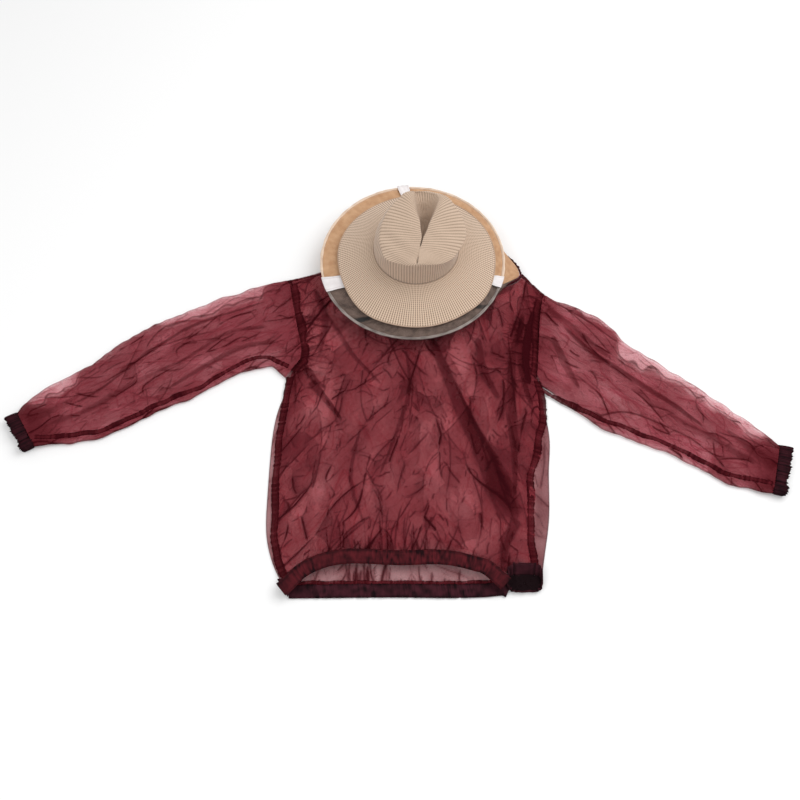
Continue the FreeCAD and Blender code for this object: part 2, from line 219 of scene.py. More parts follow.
def facets(x, y, seed, width, length, lean, spread):
    """Cloth broken into long facets that run the way lean(x, y) says.

    Returns how far each point is from the nearest facet edge, how strong that edge is (0 to 1),
    a random tone for each facet (-1 to 1), which crumple uses for its tilt and for painted light
    and shade, and which side of its middle line the point lies on (-1 to 1).
    """
    rng = np.random.default_rng(seed)
    pitch, stretch = math.sqrt(width * length), length / width
    wx = x + 0.16 * width * ripple(x, y, seed + 1, 4 * width)
    wy = y + 0.16 * width * ripple(x, y, seed + 2, 4 * width)
    seeds = []
    for gx in np.arange(x.min() - pitch, x.max() + pitch, pitch):
        for gy in np.arange(y.min() - pitch, y.max() + pitch, pitch):
            px, py = gx + rng.uniform(0, pitch), gy + rng.uniform(0, pitch)
            seeds.append((px, py, lean(px, py) + rng.normal(0, spread)))
    seeds = np.array(seeds)
    first, second = np.full(x.shape, 1e3), np.full(x.shape, 1e3)
    mine, other = np.zeros(x.shape, int), np.zeros(x.shape, int)
    for i, (px, py, turn) in enumerate(seeds):
        dx, dy = wx - px, wy - py
        c, s = math.cos(turn), math.sin(turn)
        away = np.hypot((dx * c + dy * s) / stretch, -dx * s + dy * c)
        closer = away < first
        between = ~closer & (away < second)
        second = np.where(closer, first, np.where(between, away, second))
        other = np.where(closer, mine, np.where(between, i, other))
        first = np.where(closer, away, first)
        mine = np.where(closer, i, mine)

    def pull(which, away):
        dx, dy = wx - seeds[which, 0], wy - seeds[which, 1]
        c, s = np.cos(seeds[which, 2]), np.sin(seeds[which, 2])
        a, b = (dx * c + dy * s) / stretch ** 2 / away, (-dx * s + dy * c) / away
        return a * c - b * s, a * s + b * c, b

    ax, ay, side = pull(mine, np.maximum(first, 1e-6))
    bx, by, _ = pull(other, np.maximum(second, 1e-6))
    gx, gy = ax - bx, ay - by
    steep = np.maximum(np.hypot(gx, gy), 0.15)
    edge = (second - first) / steep
    turn = seeds[mine, 2]
    lengthwise = np.abs(-gx * np.sin(turn) + gy * np.cos(turn)) / steep
    table = rng.random((len(seeds), len(seeds))) ** 1.5
    strength = table[np.minimum(mine, other), np.maximum(mine, other)] * (0.25 + 0.75 * lengthwise ** 2)
    tone = rng.uniform(-1, 1, len(seeds))[mine]
    return edge, strength, tone, side * np.clip(first / (0.5 * width), 0, 1)


def bent_path(start, angle, span, bend, parts=7):
    """Short arc from a point, of the given length and total turn."""
    path = [np.array(start, float)]
    for i in range(parts):
        turn = angle + bend * (i / parts - 0.5)
        path.append(path[-1] + np.array([math.cos(turn), math.sin(turn)]) * span / parts)
    return path


class Cloth:
    """One layer of cloth in plan, with the height, and the extra layers and painted light and shade that its
    creases add up to.
    """

    def __init__(self, x, y):
        self.x, self.y = x, y
        self.height, self.fold = np.zeros_like(x), np.zeros_like(x)

    def ripple(self, seed, size, stretch=(1, 1)):
        return ripple(self.x, self.y, seed, size, stretch)

    def crumple(self, lean, seed, width, length, rise, dark, tone, core, spread=0.35):
        """Facets that run the way lean says: sharp dark lines, and between them flat tones that are painted
        light and shade of the tilted facets, with painted shade beside the lines.
        """
        edge, strength, tilt_and_shade, side = facets(self.x, self.y, seed, width, length, lean, spread)
        gate = ease(0.8 + 0.9 * self.ripple(seed + 7, 2.2 * width))
        line = np.exp(-(edge / (core * (0.6 + 0.7 * strength * gate))) ** 2)
        soft = np.exp(-edge / (0.16 * width))
        self.height += rise * ((0.35 + strength) * soft + 0.5 * side * tilt_and_shade)
        # Dark lines with painted shade beside them, and painted light and shade on each facet, stronger on
        # one side of it.
        self.fold += dark * strength * gate * (line + 0.20 * soft) + tone * tilt_and_shade * (0.6 + 0.6 * side)

    def near(self, path, reach):
        """Points within reach of a path: mask, signed distance, and place along it from 0 to 1."""
        path = np.asarray(path, float)
        low, high = path.min(0) - reach, path.max(0) + reach
        near = (self.x > low[0]) & (self.x < high[0]) & (self.y > low[1]) & (self.y < high[1])
        px, py = self.x[near], self.y[near]
        best = np.full(px.shape, 1e9)
        side, where = np.zeros_like(px), np.zeros_like(px)
        lengths = np.linalg.norm(np.diff(path, axis=0), axis=1)
        done = np.concatenate([[0], np.cumsum(lengths)])
        for i, (a, b) in enumerate(zip(path, path[1:])):
            d = (b - a) / max(lengths[i], 1e-9)
            t = np.clip((px - a[0]) * d[0] + (py - a[1]) * d[1], 0, lengths[i])
            ox, oy = px - a[0] - d[0] * t, py - a[1] - d[1] * t
            gap = np.hypot(ox, oy)
            better = gap < best
            best[better] = gap[better]
            side[better] = (gap * np.sign(ox * -d[1] + oy * d[0]))[better]
            where[better] = ((done[i] + t) / done[-1])[better]
        return near, side, where

    def band(self, path, widths, rise, dark, blur):
        """Wide flat fold: several layers lying on each other between two fairly sharp edges."""
        near, side, where = self.near(path, 1.6 * max(widths))
        ends = ease(np.minimum(where, 1 - where) / 0.08)
        width = np.interp(where, np.linspace(0, 1, len(widths)), widths) * (0.4 + 0.6 * ends)
        q = side / width
        edge = 1 / (1 + np.exp(np.clip((np.abs(q) - 1) / (0.04 + 0.3 * blur), -40, 40)))
        rim = np.exp(-((np.abs(q) - 0.9) / 0.12) ** 2)
        self.height[near] += rise * edge * ends
        self.fold[near] += dark * edge * ends * (0.8 + 0.2 * q + 0.25 * rim)

    def crease(self, path, core, rise, dark, shadow, soft):
        """Thin sharp crease with a painted soft shadow down one side and painted light down the other."""
        near, side, where = self.near(path, 3 * soft)
        ends = np.clip(5 * np.minimum(where, 1 - where), 0, 1) ** 0.6
        line = np.exp(-(side / (core * (0.45 + 0.55 * ends))) ** 2)
        away = np.exp(-np.abs(side) / soft)
        # slope is the side that gets painted shadow, lit the side that gets painted light.
        slope = np.where(side > 0, away, 0)
        lit = np.where(side < 0, away, 0)
        self.height[near] += rise * away * ends
        self.fold[near] += dark * ends * (line + shadow * slope - 0.35 * shadow * lit)

    def scatter(self, lean, seed, count, spread, spans, core, rise, dark):
        """Creases that run the way lean(x, y) says, most with shorter ones forking off."""
        rng = np.random.default_rng(seed)
        x, y = (self.x.min(), self.x.max()), (self.y.min(), self.y.max())
        for _ in range(count):
            place = (rng.uniform(*x), rng.uniform(*y))
            angle = lean(*place) + rng.normal(0, spread) + (math.pi if rng.random() < 0.5 else 0)
            span = spans[0] + (spans[1] - spans[0]) * rng.random() ** 1.8
            weight = dark * rng.uniform(0.45, 1.15)
            side = 1 if rng.random() < 0.5 else -1
            path = bent_path(place, angle, span, rng.normal(0, 0.45))
            self.crease(path[::side], core * rng.uniform(0.7, 1.4), rise * rng.uniform(-0.6, 1),
                        weight, rng.uniform(0.1, 0.5), rng.uniform(3, 11) * MM)
            for _ in range(int(rng.integers(0, 3))):
                root = path[int(rng.integers(1, len(path) - 1))]
                turn = angle + rng.choice([-1, 1]) * rng.uniform(0.3, 0.95)
                twig = bent_path(root, turn, span * rng.uniform(0.2, 0.55), rng.normal(0, 0.4), 5)
                self.crease(twig, core * rng.uniform(0.5, 1), rise * rng.uniform(-0.4, 0.7),
                            weight * rng.uniform(0.5, 1), rng.uniform(0, 0.4), rng.uniform(2, 7) * MM)

    def gathers(self, seed, line, count, span, spread, core, rise, dark):
        """Short folds that start on a drawn-up seam line and run off it, in uneven bunches."""
        rng = np.random.default_rng(seed)
        points = smooth_path(line, 400)
        for _ in range(count):
            i = int(np.clip(rng.integers(3, 397) + 8 * math.sin(rng.uniform(0, 60)), 2, 397))
            tangent = points[i + 2] - points[i - 2]
            away = math.atan2(tangent[1], tangent[0]) + math.pi / 2 + rng.normal(0, spread)
            reach = span * (0.3 + 1.3 * rng.random() ** 2)
            path = bent_path(points[i], away, reach, rng.normal(0, 0.4), 5)
            self.crease(path, core * rng.uniform(0.6, 1.4), rise * rng.uniform(0.2, 1.2),
                        dark * rng.uniform(0.3, 1.2), 0.25, 4 * MM)


# ------------------------------------------------------------ meshes
def store(mesh, name, values):
    """Keep a value for every point on a mesh, for its material to read."""
    kind, key = ("FLOAT_VECTOR", "vector") if name == "rest" else ("FLOAT", "value")
    kept = mesh.attributes.get(name) or mesh.attributes.new(name, kind, "POINT")
    kept.data.foreach_set(key, np.asarray(values, np.float32).reshape(-1))


def grid_piece(name, points, fold, rest=None, wrap_rows=False, wrap_cols=False, keep=None):
    """Quad mesh over a rows x cols array of points; rest and fold are for its material."""
    rows, cols = points.shape[:2]
    index = np.arange(rows * cols).reshape(rows, cols)
    down = np.vstack([index, index[:1]]) if wrap_rows else index
    both = np.hstack([down, down[:, :1]]) if wrap_cols else down
    a, b, c, d = both[:-1, :-1], both[:-1, 1:], both[1:, 1:], both[1:, :-1]
    quads = np.stack([a, b, c, d], -1).reshape(-1, 4)
    if keep is not None:
        quads = quads[keep.reshape(-1)]
    mesh = bpy.data.meshes.new(name)
    mesh.vertices.add(rows * cols)
    mesh.vertices.foreach_set("co", points.reshape(-1).astype(np.float32))
    mesh.loops.add(len(quads) * 4)
    mesh.loops.foreach_set("vertex_index", quads.reshape(-1).astype(np.int32))
    mesh.polygons.add(len(quads))
    mesh.polygons.foreach_set("loop_start", np.arange(0, len(quads) * 4, 4, dtype=np.int32))
    mesh.polygons.foreach_set("use_smooth", np.ones(len(quads), bool))
    store(mesh, "rest", points if rest is None else rest)
    store(mesh, "fold", fold)
    mesh.update(calc_edges=True)
    mesh.validate()
    piece = bpy.data.objects.new(name, mesh)
    bpy.context.scene.collection.objects.link(piece)
    return piece


def thicken(piece, thickness, offset=-1):
    thick = piece.modifiers.new("thick", "SOLIDIFY")
    thick.thickness = thickness
    thick.offset = offset


def finish_piece(piece, material, body, slot, nodes=()):
    """Give a piece its material, and its body unless body is None; slot is not used."""
    piece.data.materials.append(material)
    if body is not None:
        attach(piece, body)
    if nodes:
        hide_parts(*nodes)
    return piece


def coons(bottom, top, left, right):
    """XY points spanning four edges: bottom and top run left to right, left and right run up."""
    cols, rows = len(bottom), len(left)
    u = np.linspace(0, 1, cols)[None, :, None]
    v = np.linspace(0, 1, rows)[:, None, None]
    ruled = (1 - v) * bottom[None] + v * top[None] + (1 - u) * left[:, None] + u * right[:, None]
    corner = ((1 - u) * (1 - v) * bottom[0] + u * (1 - v) * bottom[-1]
              + (1 - u) * v * top[0] + u * v * top[-1])
    return ruled - corner


# ------------------------------------------------------------ materials
class Shade:
    """A material's node tree, with short calls for the nodes used here."""

    def __init__(self, name, roughness=0.5, specular=0.5):
        self.material = bpy.data.materials.new(name)
        self.material.use_nodes = True
        self.nodes = self.material.node_tree.nodes
        self.link = self.material.node_tree.links.new
        self.inputs = self.nodes["Principled BSDF"].inputs
        self.inputs["Roughness"].default_value = roughness
        self.inputs["Specular IOR Level"].default_value = specular

    def add(self, kind, vector=None, **values):
        made = self.nodes.new("ShaderNode" + kind)
        for key, value in values.items():
            if hasattr(made, key):
                setattr(made, key, value)
            else:
                made.inputs[key].default_value = value
        if vector is not None:
            self.link(vector, made.inputs["Vector"])
        return made

    def rest(self):
        """Where a point lies at rest, so that a pattern moves with its cloth."""
        return self.add("Attribute", attribute_name="rest").outputs["Vector"]

    def fold(self):
        return self.add("Attribute", attribute_name="fold").outputs["Fac"]

    def noise(self, vector, scale, detail, **values):
        return self.add("TexNoise", vector, Scale=scale, Detail=detail, **values).outputs["Fac"]

    def maths(self, operation, *values, clamp=False):
        made = self.add("Math", operation=operation, use_clamp=clamp)
        for socket, value in zip(made.inputs, values):
            if isinstance(value, (int, float)):
                socket.default_value = value
            else:
                self.link(value, socket)
        return made.outputs[0]

    def ramp(self, source, *stops):
        made = self.add("ValToRGB")
        elements = made.color_ramp.elements
        while len(elements) < len(stops):
            elements.new(0.5)
        for element, (at, colour) in zip(elements, stops):
            element.position = at
            element.color = (*colour, 1)
        self.link(source, made.inputs[0])
        return made.outputs[0]

    def bump(self, height, strength, distance):
        made = self.add("Bump", Strength=strength, Distance=distance)
        self.link(height, made.inputs["Height"])
        self.link(made.outputs[0], self.inputs["Normal"])


def srgb(*levels):
    """Linear colour for 0-255 display levels."""
    return tuple(((v / 255 + 0.055) / 1.055) ** 2.4 if v > 10 else v / 255 / 12.92 for v in levels)


def organza(name, lean, tones=ORGANZA_TONES):
    """Sheer cloth: 'fold' on the mesh counts extra layers, with painted light and shade of creases and facets
    in it; fine creases come from noise.
    """
    shade = Shade(name, specular=0.0)
    place, maths = shade.rest(), shade.maths
    turned = shade.add("Mapping", place, vector_type="TEXTURE", Rotation=(0, 0, lean))
    total = shade.fold()
    for scale, squeeze, width, strength in FINE_CREASES:
        mapping = shade.add("Mapping", turned.outputs[0], Scale=(1, squeeze, 1))
        noise = shade.noise(mapping.outputs[0], scale, 2.5, Roughness=0.55, Distortion=0.6)
        off = maths("ABSOLUTE", maths("SUBTRACT", noise, 0.5))
        line = maths("SUBTRACT", 1.0, maths("DIVIDE", off, width), clamp=True)
        shown = shade.ramp(shade.noise(place, 1.3 * scale, 1.0), (0.42, (0, 0, 0)), (0.56, (1, 1, 1)))
        total = maths("ADD", total, maths("MULTIPLY", maths("MULTIPLY", line, shown), strength))
    grain = maths("MULTIPLY_ADD", shade.noise(place, 380.0, 1.0), 0.5, -0.25)
    layers = maths("MAXIMUM", maths("ADD", maths("ADD", grain, total), 1.0), 0.3)
    through = maths("POWER", 1 - LAYER_ALPHA, layers)
    shade.link(maths("SUBTRACT", 1.0, through, clamp=True), shade.inputs["Alpha"])
    shade.link(shade.ramp(maths("DIVIDE", layers, MOST_LAYERS), *tones), shade.inputs["Base Color"])
    shade.bump(shade.noise(place, 900.0, 1.0), 0.12, 0.0004)
    return shade.material


def dense_cloth(name, dark, light, weave_scale=700.0):
    """Doubled, stitched or taped cloth: opaque, woven, uneven in tone."""
    shade = Shade(name, 0.7, 0.04)
    place = shade.rest()
    tone = shade.noise(place, 45.0, 3.0)
    mixed = shade.maths("SUBTRACT", tone, shade.maths("MULTIPLY", shade.fold(), 0.35))
    shade.link(shade.ramp(mixed, (0.15, dark), (0.75, light)), shade.inputs["Base Color"])
    weave = shade.add("TexVoronoi", place, Scale=weave_scale)
    shade.bump(weave.outputs["Distance"], 0.35, 0.0005)
    return shade.material


def netting(name, open_share, *tones):
    """Woven mesh with small square holes; 'fold' on the mesh marks doubled places, which are darker.

    open_share is how much shows through a hole.
    """
    shade = Shade(name, 0.75)
    place, doubled, maths = shade.rest(), shade.fold(), shade.maths
    split = shade.nodes.new("ShaderNodeSeparateXYZ")
    shade.link(place, split.inputs[0])
    waves = [maths("SINE", maths("MULTIPLY", split.outputs[axis], math.tau / NET_CELL)) for axis in (0, 1)]
    threads = maths("MAXIMUM", *waves)
    solid = maths("MULTIPLY_ADD", threads, 0.5, 0.5)
    solid = shade.ramp(solid, (0.0, (1 - open_share,) * 3), (0.9, (1, 1, 1)))
    shade.link(maths("ADD", solid, doubled, clamp=True), shade.inputs["Alpha"])
    tone = maths("SUBTRACT", shade.noise(place, 60.0, 4.0), maths("MULTIPLY", doubled, 0.9))
    shade.link(shade.ramp(tone, *tones), shade.inputs["Base Color"])
    shade.bump(threads, 0.4, 0.0004)
    return shade.material


def knit(name, shaded_gap, ridge):
    """Knitted yarn; 'fold' on the mesh is how deep the gap between stitches is, and the ramp paints shade
    into the gaps by it.
    """
    shade = Shade(name, 0.85)
    shade.inputs["Sheen Weight"].default_value = 0.2
    fuzz = shade.noise(shade.rest(), 600.0, 3.0)
    mixed = shade.maths("ADD", shade.fold(), shade.maths("MULTIPLY", fuzz, 0.35))
    # The valley colour is painted shade in the gaps between stitches.
    shade.link(shade.ramp(mixed, (0.15, ridge), (0.95, shaded_gap)), shade.inputs["Base Color"])
    shade.bump(fuzz, 0.5, 0.0008)
    return shade.material


def steel(name):
    """Drawn wire, a little uneven in tone and gloss."""
    shade = Shade(name)
    shade.inputs["Metallic"].default_value = 1.0
    noise = shade.noise(None, 300.0, 4.0)
    for socket, dark, light in (("Base Color", (0.32, 0.31, 0.3), (0.6, 0.6, 0.6)),
                                ("Roughness", (0.25,) * 3, (0.45,) * 3)):
        shade.link(shade.ramp(noise, (0.3, dark), (0.7, light)), shade.inputs[socket])
    return shade.material


BODY_CLOTH = organza("organza_body", 1.15)
BACK_CLOTH = organza("organza_back", 1.9)
SLEEVE_CLOTH = {"left": organza("organza_left_sleeve", 0.46, SLEEVE_TONES),
                "right": organza("organza_right_sleeve", -0.6, SLEEVE_TONES)}
SEAM_CLOTH = organza("organza_seam", 0.4)
COLLAR_CLOTH = dense_cloth("collar_cloth", srgb(44, 16, 22), srgb(88, 32, 40))
HEM_FRONT_CLOTH = dense_cloth("hem_front_cloth", srgb(30, 11, 15), srgb(84, 27, 33))
HEM_BACK_CLOTH = dense_cloth("hem_back_cloth", srgb(22, 10, 13), srgb(64, 28, 36))
CUFF_CLOTH = dense_cloth("cuff_cloth", srgb(14, 7, 10), srgb(56, 22, 29))
ELASTIC = dense_cloth("elastic", srgb(190, 186, 180), srgb(232, 230, 226), 1500.0)
TAN_MESH = netting("tan_mesh", 0.22, (0.3, srgb(182, 136, 98)), (0.7, srgb(204, 162, 124)))
BLACK_NET = netting("black_net", 0.42, (0.0, (0.012, 0.010, 0.009)), (0.3, srgb(78, 62, 54)),
                    (0.7, srgb(118, 98, 88)))
NET_EDGE = dense_cloth("net_edge", srgb(92, 84, 80), srgb(176, 166, 160), 1200.0)
TAPE_CLOTH = dense_cloth("binding_tape", srgb(214, 206, 206), srgb(244, 240, 240), 1200.0)
BRIM_EDGE = dense_cloth("brim_edge", srgb(160, 136, 118), srgb(196, 170, 150), 1200.0)
EDGE_CLOTH = dense_cloth("hoop_edge", srgb(206, 180, 158), srgb(236, 216, 196), 1200.0)
# The first colour is painted shade for the gaps between stitches, the second the yarn.
HAT_KNIT = knit("hat_knit", srgb(128, 104, 86), srgb(218, 193, 170))
BAND_CLOTH = dense_cloth("sweatband", srgb(60, 50, 44), srgb(104, 90, 80), 1000.0)
WIRE = steel("spring_steel")


# ------------------------------------------------------------ places
COLLAR_LOW, COLLAR_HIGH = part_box("collar_band")
NECK = 0.5 * (COLLAR_LOW + COLLAR_HIGH)
NECK_A = 0.5 * (COLLAR_HIGH.x - COLLAR_LOW.x) + MM
NECK_B = 0.5 * (COLLAR_HIGH.y - COLLAR_LOW.y) + MM
NECK_DRAWN = 0.5              # the front of the neckline is drawn in towards its right end
COLLAR_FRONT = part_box("front_panel")[1].z + 0.3 * MM
COLLAR_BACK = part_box("back_panel")[1].z + 0.3 * MM
# Outer and inner ends of each shoulder seam, and the way each sleeve leaves its shoulder.
SHOULDER = {"left": (-0.268, 0.278), "right": (0.358, 0.235)}
NECK_POINT = {"left": (-0.166, 0.306), "right": (0.302, 0.296)}

# The sewn sides of the front layer, hem to underarm.  The back layer shows past them.
SIDE_SEAM = {"left": [(-0.226, -0.487), (-0.243, -0.455), (-0.262, -0.392), (-0.264, -0.318),
                      (-0.265, -0.176), (-0.254, -0.06), (-0.246, 0.01)],
             "right": [(0.298, -0.462), (0.292, -0.42), (0.291, -0.36), (0.297, -0.25), (0.318, -0.16),
                       (0.334, -0.08), (0.327, 0.0)]}


def collar_foot(y):
    """Height of the collar's lower edge over its slope."""
    return COLLAR_FRONT + (COLLAR_BACK - COLLAR_FRONT) * (y - NECK.y + NECK_B) / (2 * NECK_B)


def armhole(side):
    """Seam line from underarm to shoulder."""
    line = middle_line("armhole_seam_" + side)
    return np.vstack([SIDE_SEAM[side][-1], line, SHOULDER[side]])


# ------------------------------------------------------------ jacket body
def body_lean(x, y):
    """The way creases run at a place on the body, in radians from +X."""
    picks = [(0.95, ease((0.06 - x) / 0.2)), (1.62, ease((x + 0.1) / 0.22))]
    for cx, cy, reach in ((-0.25, 0.03, 0.15), (0.33, 0.0, 0.13)):
        away = math.hypot(x - cx, y - cy)
        picks.append((math.atan2(y - cy, x - cx), 2.0 * math.exp(-(away / reach) ** 2)))
    c = sum(w * math.cos(2 * a) for a, w in picks)
    s = sum(w * math.sin(2 * a) for a, w in picks)
    return 0.5 * math.atan2(s, c)


# Creases of the body by size: seed, facet width and length, rise, darkness of the lines, painted light
# and shade of the facets, half width of a line, how freely the facets turn.
BODY_CREASES = [(11, 0.066, 0.24, 5 * MM, 3.5, 0.56, 1.7 * MM, 0.3),
                (12, 0.038, 0.11, 3 * MM, 3.5, 0.42, 1.4 * MM, 0.5),
                (13, 0.020, 0.05, 1.2 * MM, 2.0, 0.16, 1.1 * MM, 0.7)]
# Flat folds: path, half widths along it, rise, darkness, how soft its edges are.
BIG_FOLDS = [
    ([(0.072, 0.125), (0.108, 0.030), (0.146, -0.080), (0.184, -0.170), (0.220, -0.270), (0.255, -0.365)],
     (0.008, 0.011, 0.015, 0.021, 0.026), 0.006, 2.0, 0.45),
    ([(0.13, 0.0), (0.168, -0.10), (0.21, -0.19), (0.26, -0.30)], (0.003, 0.005, 0.012), 0.004, 1.0, 0.2),
    ([(0.262, -0.344), (0.235, -0.40), (0.225, -0.45)], (0.012, 0.010, 0.005), 0.003, 1.4, 0.4),
    ([(-0.199, -0.004), (-0.165, -0.05), (-0.123, -0.108)], (0.009, 0.007, 0.002), 0.004, 2.0, 0.2),
    ([(-0.226, 0.05), (-0.19, 0.0), (-0.16, -0.03)], (0.007, 0.007, 0.003), 0.003, 1.4, 0.4),
    ([(-0.17, 0.18), (-0.1, 0.06), (-0.03, -0.02)], (0.003, 0.005, 0.002), 0.003, 1.1, 0.3),
    ([(-0.2, 0.25), (-0.17, 0.16), (-0.18, 0.06)], (0.006, 0.008, 0.004), 0.003, 1.2, 0.4),
    ([(0.30, 0.16), (0.27, 0.06), (0.262, -0.08), (0.27, -0.2)], (0.005, 0.009, 0.005), 0.004, 1.4, 0.4),
    ([(0.02, 0.09), (0.03, -0.02), (0.0, -0.14), (-0.04, -0.25)], (0.002, 0.004, 0.002), 0.003, 1.1, 0.3),
    ([(0.19, 0.11), (0.2, 0.02), (0.235, -0.06)], (0.006, 0.010, 0.004), 0.004, 1.3, 0.4),
    ([(0.335, 0.20), (0.312, 0.13), (0.300, 0.05), (0.304, -0.02)], (0.006, 0.009, 0.006), 0.004, 3.2, 0.3),
    ([(0.300, 0.18), (0.288, 0.10), (0.292, 0.0), (0.31, -0.08)], (0.005, 0.007, 0.004), 0.003, 1.6, 0.5),
    ([(0.25, -0.08), (0.262, -0.2), (0.258, -0.3)], (0.003, 0.006, 0.003), 0.003, 1.2, 0.3),
    ([(-0.08, -0.12), (-0.1, -0.25), (-0.07, -0.36)], (0.002, 0.004, 0.002), 0.002, 1.0, 0.3),
]


def drawn_in(across, away):
    """Factor on the neckline's depth at a place on it, across and away from its middle."""
    return np.where(away < 0, 1 - NECK_DRAWN * ease((across - 0.3) / 0.5), 1.0)


def neck_share(x, y):
    """Distance outside the neckline as a share of its size; 1 on the line."""
    across, away = (x - NECK.x) / NECK_A, (y - NECK.y) / NECK_B
    return np.hypot(across, away / drawn_in(across, away))


def neckline(angle, grow=0.0):
    """Plan points of the neckline, moved outward by grow."""
    def spot(turn):
        across, away = np.cos(turn), np.sin(turn)
        return np.stack([NECK.x + NECK_A * across, NECK.y + NECK_B * away * drawn_in(across, away)], -1)
    way = spot(angle + 0.002) - spot(angle - 0.002)
    way /= np.linalg.norm(way, axis=-1)[..., None]
    return spot(angle) + np.stack([way[..., 1], -way[..., 0]], -1) * np.asarray(grow)[..., None]


def edge_rise(u, v, width, height, reach):
    """How far a panel has risen, 0 to 1: none at its edges, all of it reach in from them."""
    near = np.minimum(np.minimum(u, 1 - u) * width, np.minimum(v, 1 - v) * height)
    return ease(near / reach) ** 0.6


def body_grid(step, bottom, top, left, right):
    """Plan points between four edges, about step apart, and their shares across and up."""
    cols = int(length_of(bottom) / step)
    rows = int(length_of(left) / step)
    plan = coons(evenly(bottom, cols), evenly(top, cols), evenly(left, rows), evenly(right, rows))
    u, v = np.meshgrid(np.linspace(0, 1, cols), np.linspace(0, 1, rows))
    return plan, u, v


def front_layer():
    """The gathered front panel, drawn in round the neckline."""
    hem = along(outline("front_panel"), (-0.243, -0.487), (0.31, -0.464), (0, -0.42))
    left, right = (np.vstack([smooth_path(SIDE_SEAM[side], 80), armhole(side)[1:]]) for side in SIDES)
    hem = hem[(hem[:, 0] > left[0][0]) & (hem[:, 0] < right[0][0])]
    hem = np.vstack([left[:1], hem, right[:1]])
    top = [left[-1], NECK_POINT["left"], NECK_POINT["right"], right[-1]]
    plan, u, v = body_grid(BODY_STEP, hem, top, left, right)
    x, y = plan[..., 0], plan[..., 1]
    share = neck_share(x, y)
    inside = share < 1
    keep = ~(inside[:-1, :-1] & inside[1:, :-1] & inside[:-1, 1:] & inside[1:, 1:])
    for _ in range(6):
        pull = 1 / np.maximum(neck_share(x, y), 0.2)
        x = np.where(inside, NECK.x + (x - NECK.x) * pull, x)
        y = np.where(inside, NECK.y + (y - NECK.y) * pull, y)
    rise = edge_rise(u, v, 0.57, 0.72, EDGE_ROUND)
    cloth = Cloth(x, y)
    for crumple in BODY_CREASES:
        cloth.crumple(body_lean, *crumple)
    cloth.height += 2.5 * MM * cloth.ripple(21, 0.17)
    # The first term darkens the whole front layer, partly with painted shade.
    cloth.fold += BODY_DENSITY_AND_SHADE + 0.22 * cloth.ripple(5, 0.15) + 0.10 * cloth.ripple(6, 0.05, (1, 1.8))
    cloth.fold += 0.30 * ease((x - 0.14) / 0.12)
    cloth.scatter(body_lean, 31, 58, 0.26, (0.07, 0.28), 1.4 * MM, 2.2 * MM, 1.7)
    for path, *band in BIG_FOLDS:
        cloth.band(smooth_path(path, 24), *band)
    cloth.gathers(41, hem[8:-8:8], 34, 0.07, 0.3, 1.4 * MM, 1.5 * MM, 1.5)
    cloth.gathers(42, armhole("left")[::-1], 38, 0.07, 0.4, 1.5 * MM, 2 * MM, 1.5)
    cloth.gathers(43, armhole("right"), 38, 0.07, 0.4, 1.5 * MM, 2 * MM, 1.5)
    near_neck = ease(1 - (share - 1) / 0.18)
    z = 4.5 * MM + rise * LAYER_PUFF + cloth.height * (0.25 + 0.75 * rise) * (1 - 0.6 * near_neck)
    z = np.where(share < 1.6, z * (1 - near_neck) + (collar_foot(y) - 1.5 * MM) * near_neck, z)
    points = np.stack([x, y, np.clip(z, 3.2 * MM, 33 * MM)], -1)
    fold = np.clip(cloth.fold, -0.35, 3) * (1 - 0.3 * near_neck)
    piece = grid_piece("organza_front", points, fold, keep=keep)
    return finish_piece(piece, BODY_CLOTH, "jacket", "organza", ["front_panel"])


def back_layer():
    """The back panel, whose inside shows between the two hem casings."""
    loop = outline("back_panel")
    left = along(loop, (-0.243, -0.487), (-0.257, 0.008), (-0.28, -0.29))
    right = along(loop, (0.325, -0.455), (0.335, -0.014), (0.34, -0.22))
    left, right = np.vstack([left, armhole("left")[1:]]), np.vstack([right, armhole("right")[1:]])
    arc = [(NECK.x - NECK_A * math.cos(t), NECK.y + NECK_B * math.sin(t)) for t in np.linspace(0.2, 3.04, 40)]
    top = np.vstack([left[-1:], NECK_POINT["left"], arc, NECK_POINT["right"], right[-1:]])
    upper = evenly(casing_top("hem_casing_back"), 14)[1:-1] - (0, 5 * MM)
    bottom = np.vstack([left[:1], upper, [(0.234, -0.470), (0.262, -0.462)], right[:1]])
    plan, u, v = body_grid(BACK_STEP, bottom, top, left, right)
    x, y = plan[..., 0], plan[..., 1]
    cloth = Cloth(x, y)
    # The facets' tones here are painted light and shade, as in crumple.
    cloth.crumple(lambda a, b: body_lean(a, b) + 0.5, 53, 0.06, 0.24, 1.5 * MM, 1.6, 0.14, 1.8 * MM)
    cloth.crumple(lambda a, b: body_lean(a, b) + 0.3, 54, 0.028, 0.09, 0.7 * MM, 1.0, 0.08, 1.3 * MM)
    cloth.fold += 0.16 * cloth.ripple(55, 0.13)
    middle = [(-0.11, upper[5][1]), (-0.03, upper[6][1])]
    cloth.gathers(57, upper, 26, 0.035, 0.25, 1.5 * MM, 0.6 * MM, 1.4)
    cloth.gathers(58, middle, 14, 0.08, 0.12, 2 * MM, 0.6 * MM, 2.2)
    side = np.minimum(u, 1 - u) * 0.6
    flange = ease((0.035 - side) / 0.012)
    cloth.fold += 0.1 * flange + 0.35 * flange * ease((x - 0.2) / 0.05)
    cloth.fold += 1.3 * np.exp(-(side / (1.6 * MM)) ** 2)
    rise = edge_rise(u, v, 0.6, 0.8, 25 * MM)
    z = np.clip(FLOOR_GAP + 1.2 * MM + rise * (2.2 * MM + cloth.height), FLOOR_GAP, 8 * MM)
    points = np.stack([x, y, z], -1)
    piece = grid_piece("organza_back", points, np.clip(cloth.fold, -0.3, 2.5), points + (0, 0, SHEET_APART))
    return finish_piece(piece, BACK_CLOTH, "jacket", "organza", ["back_panel"])


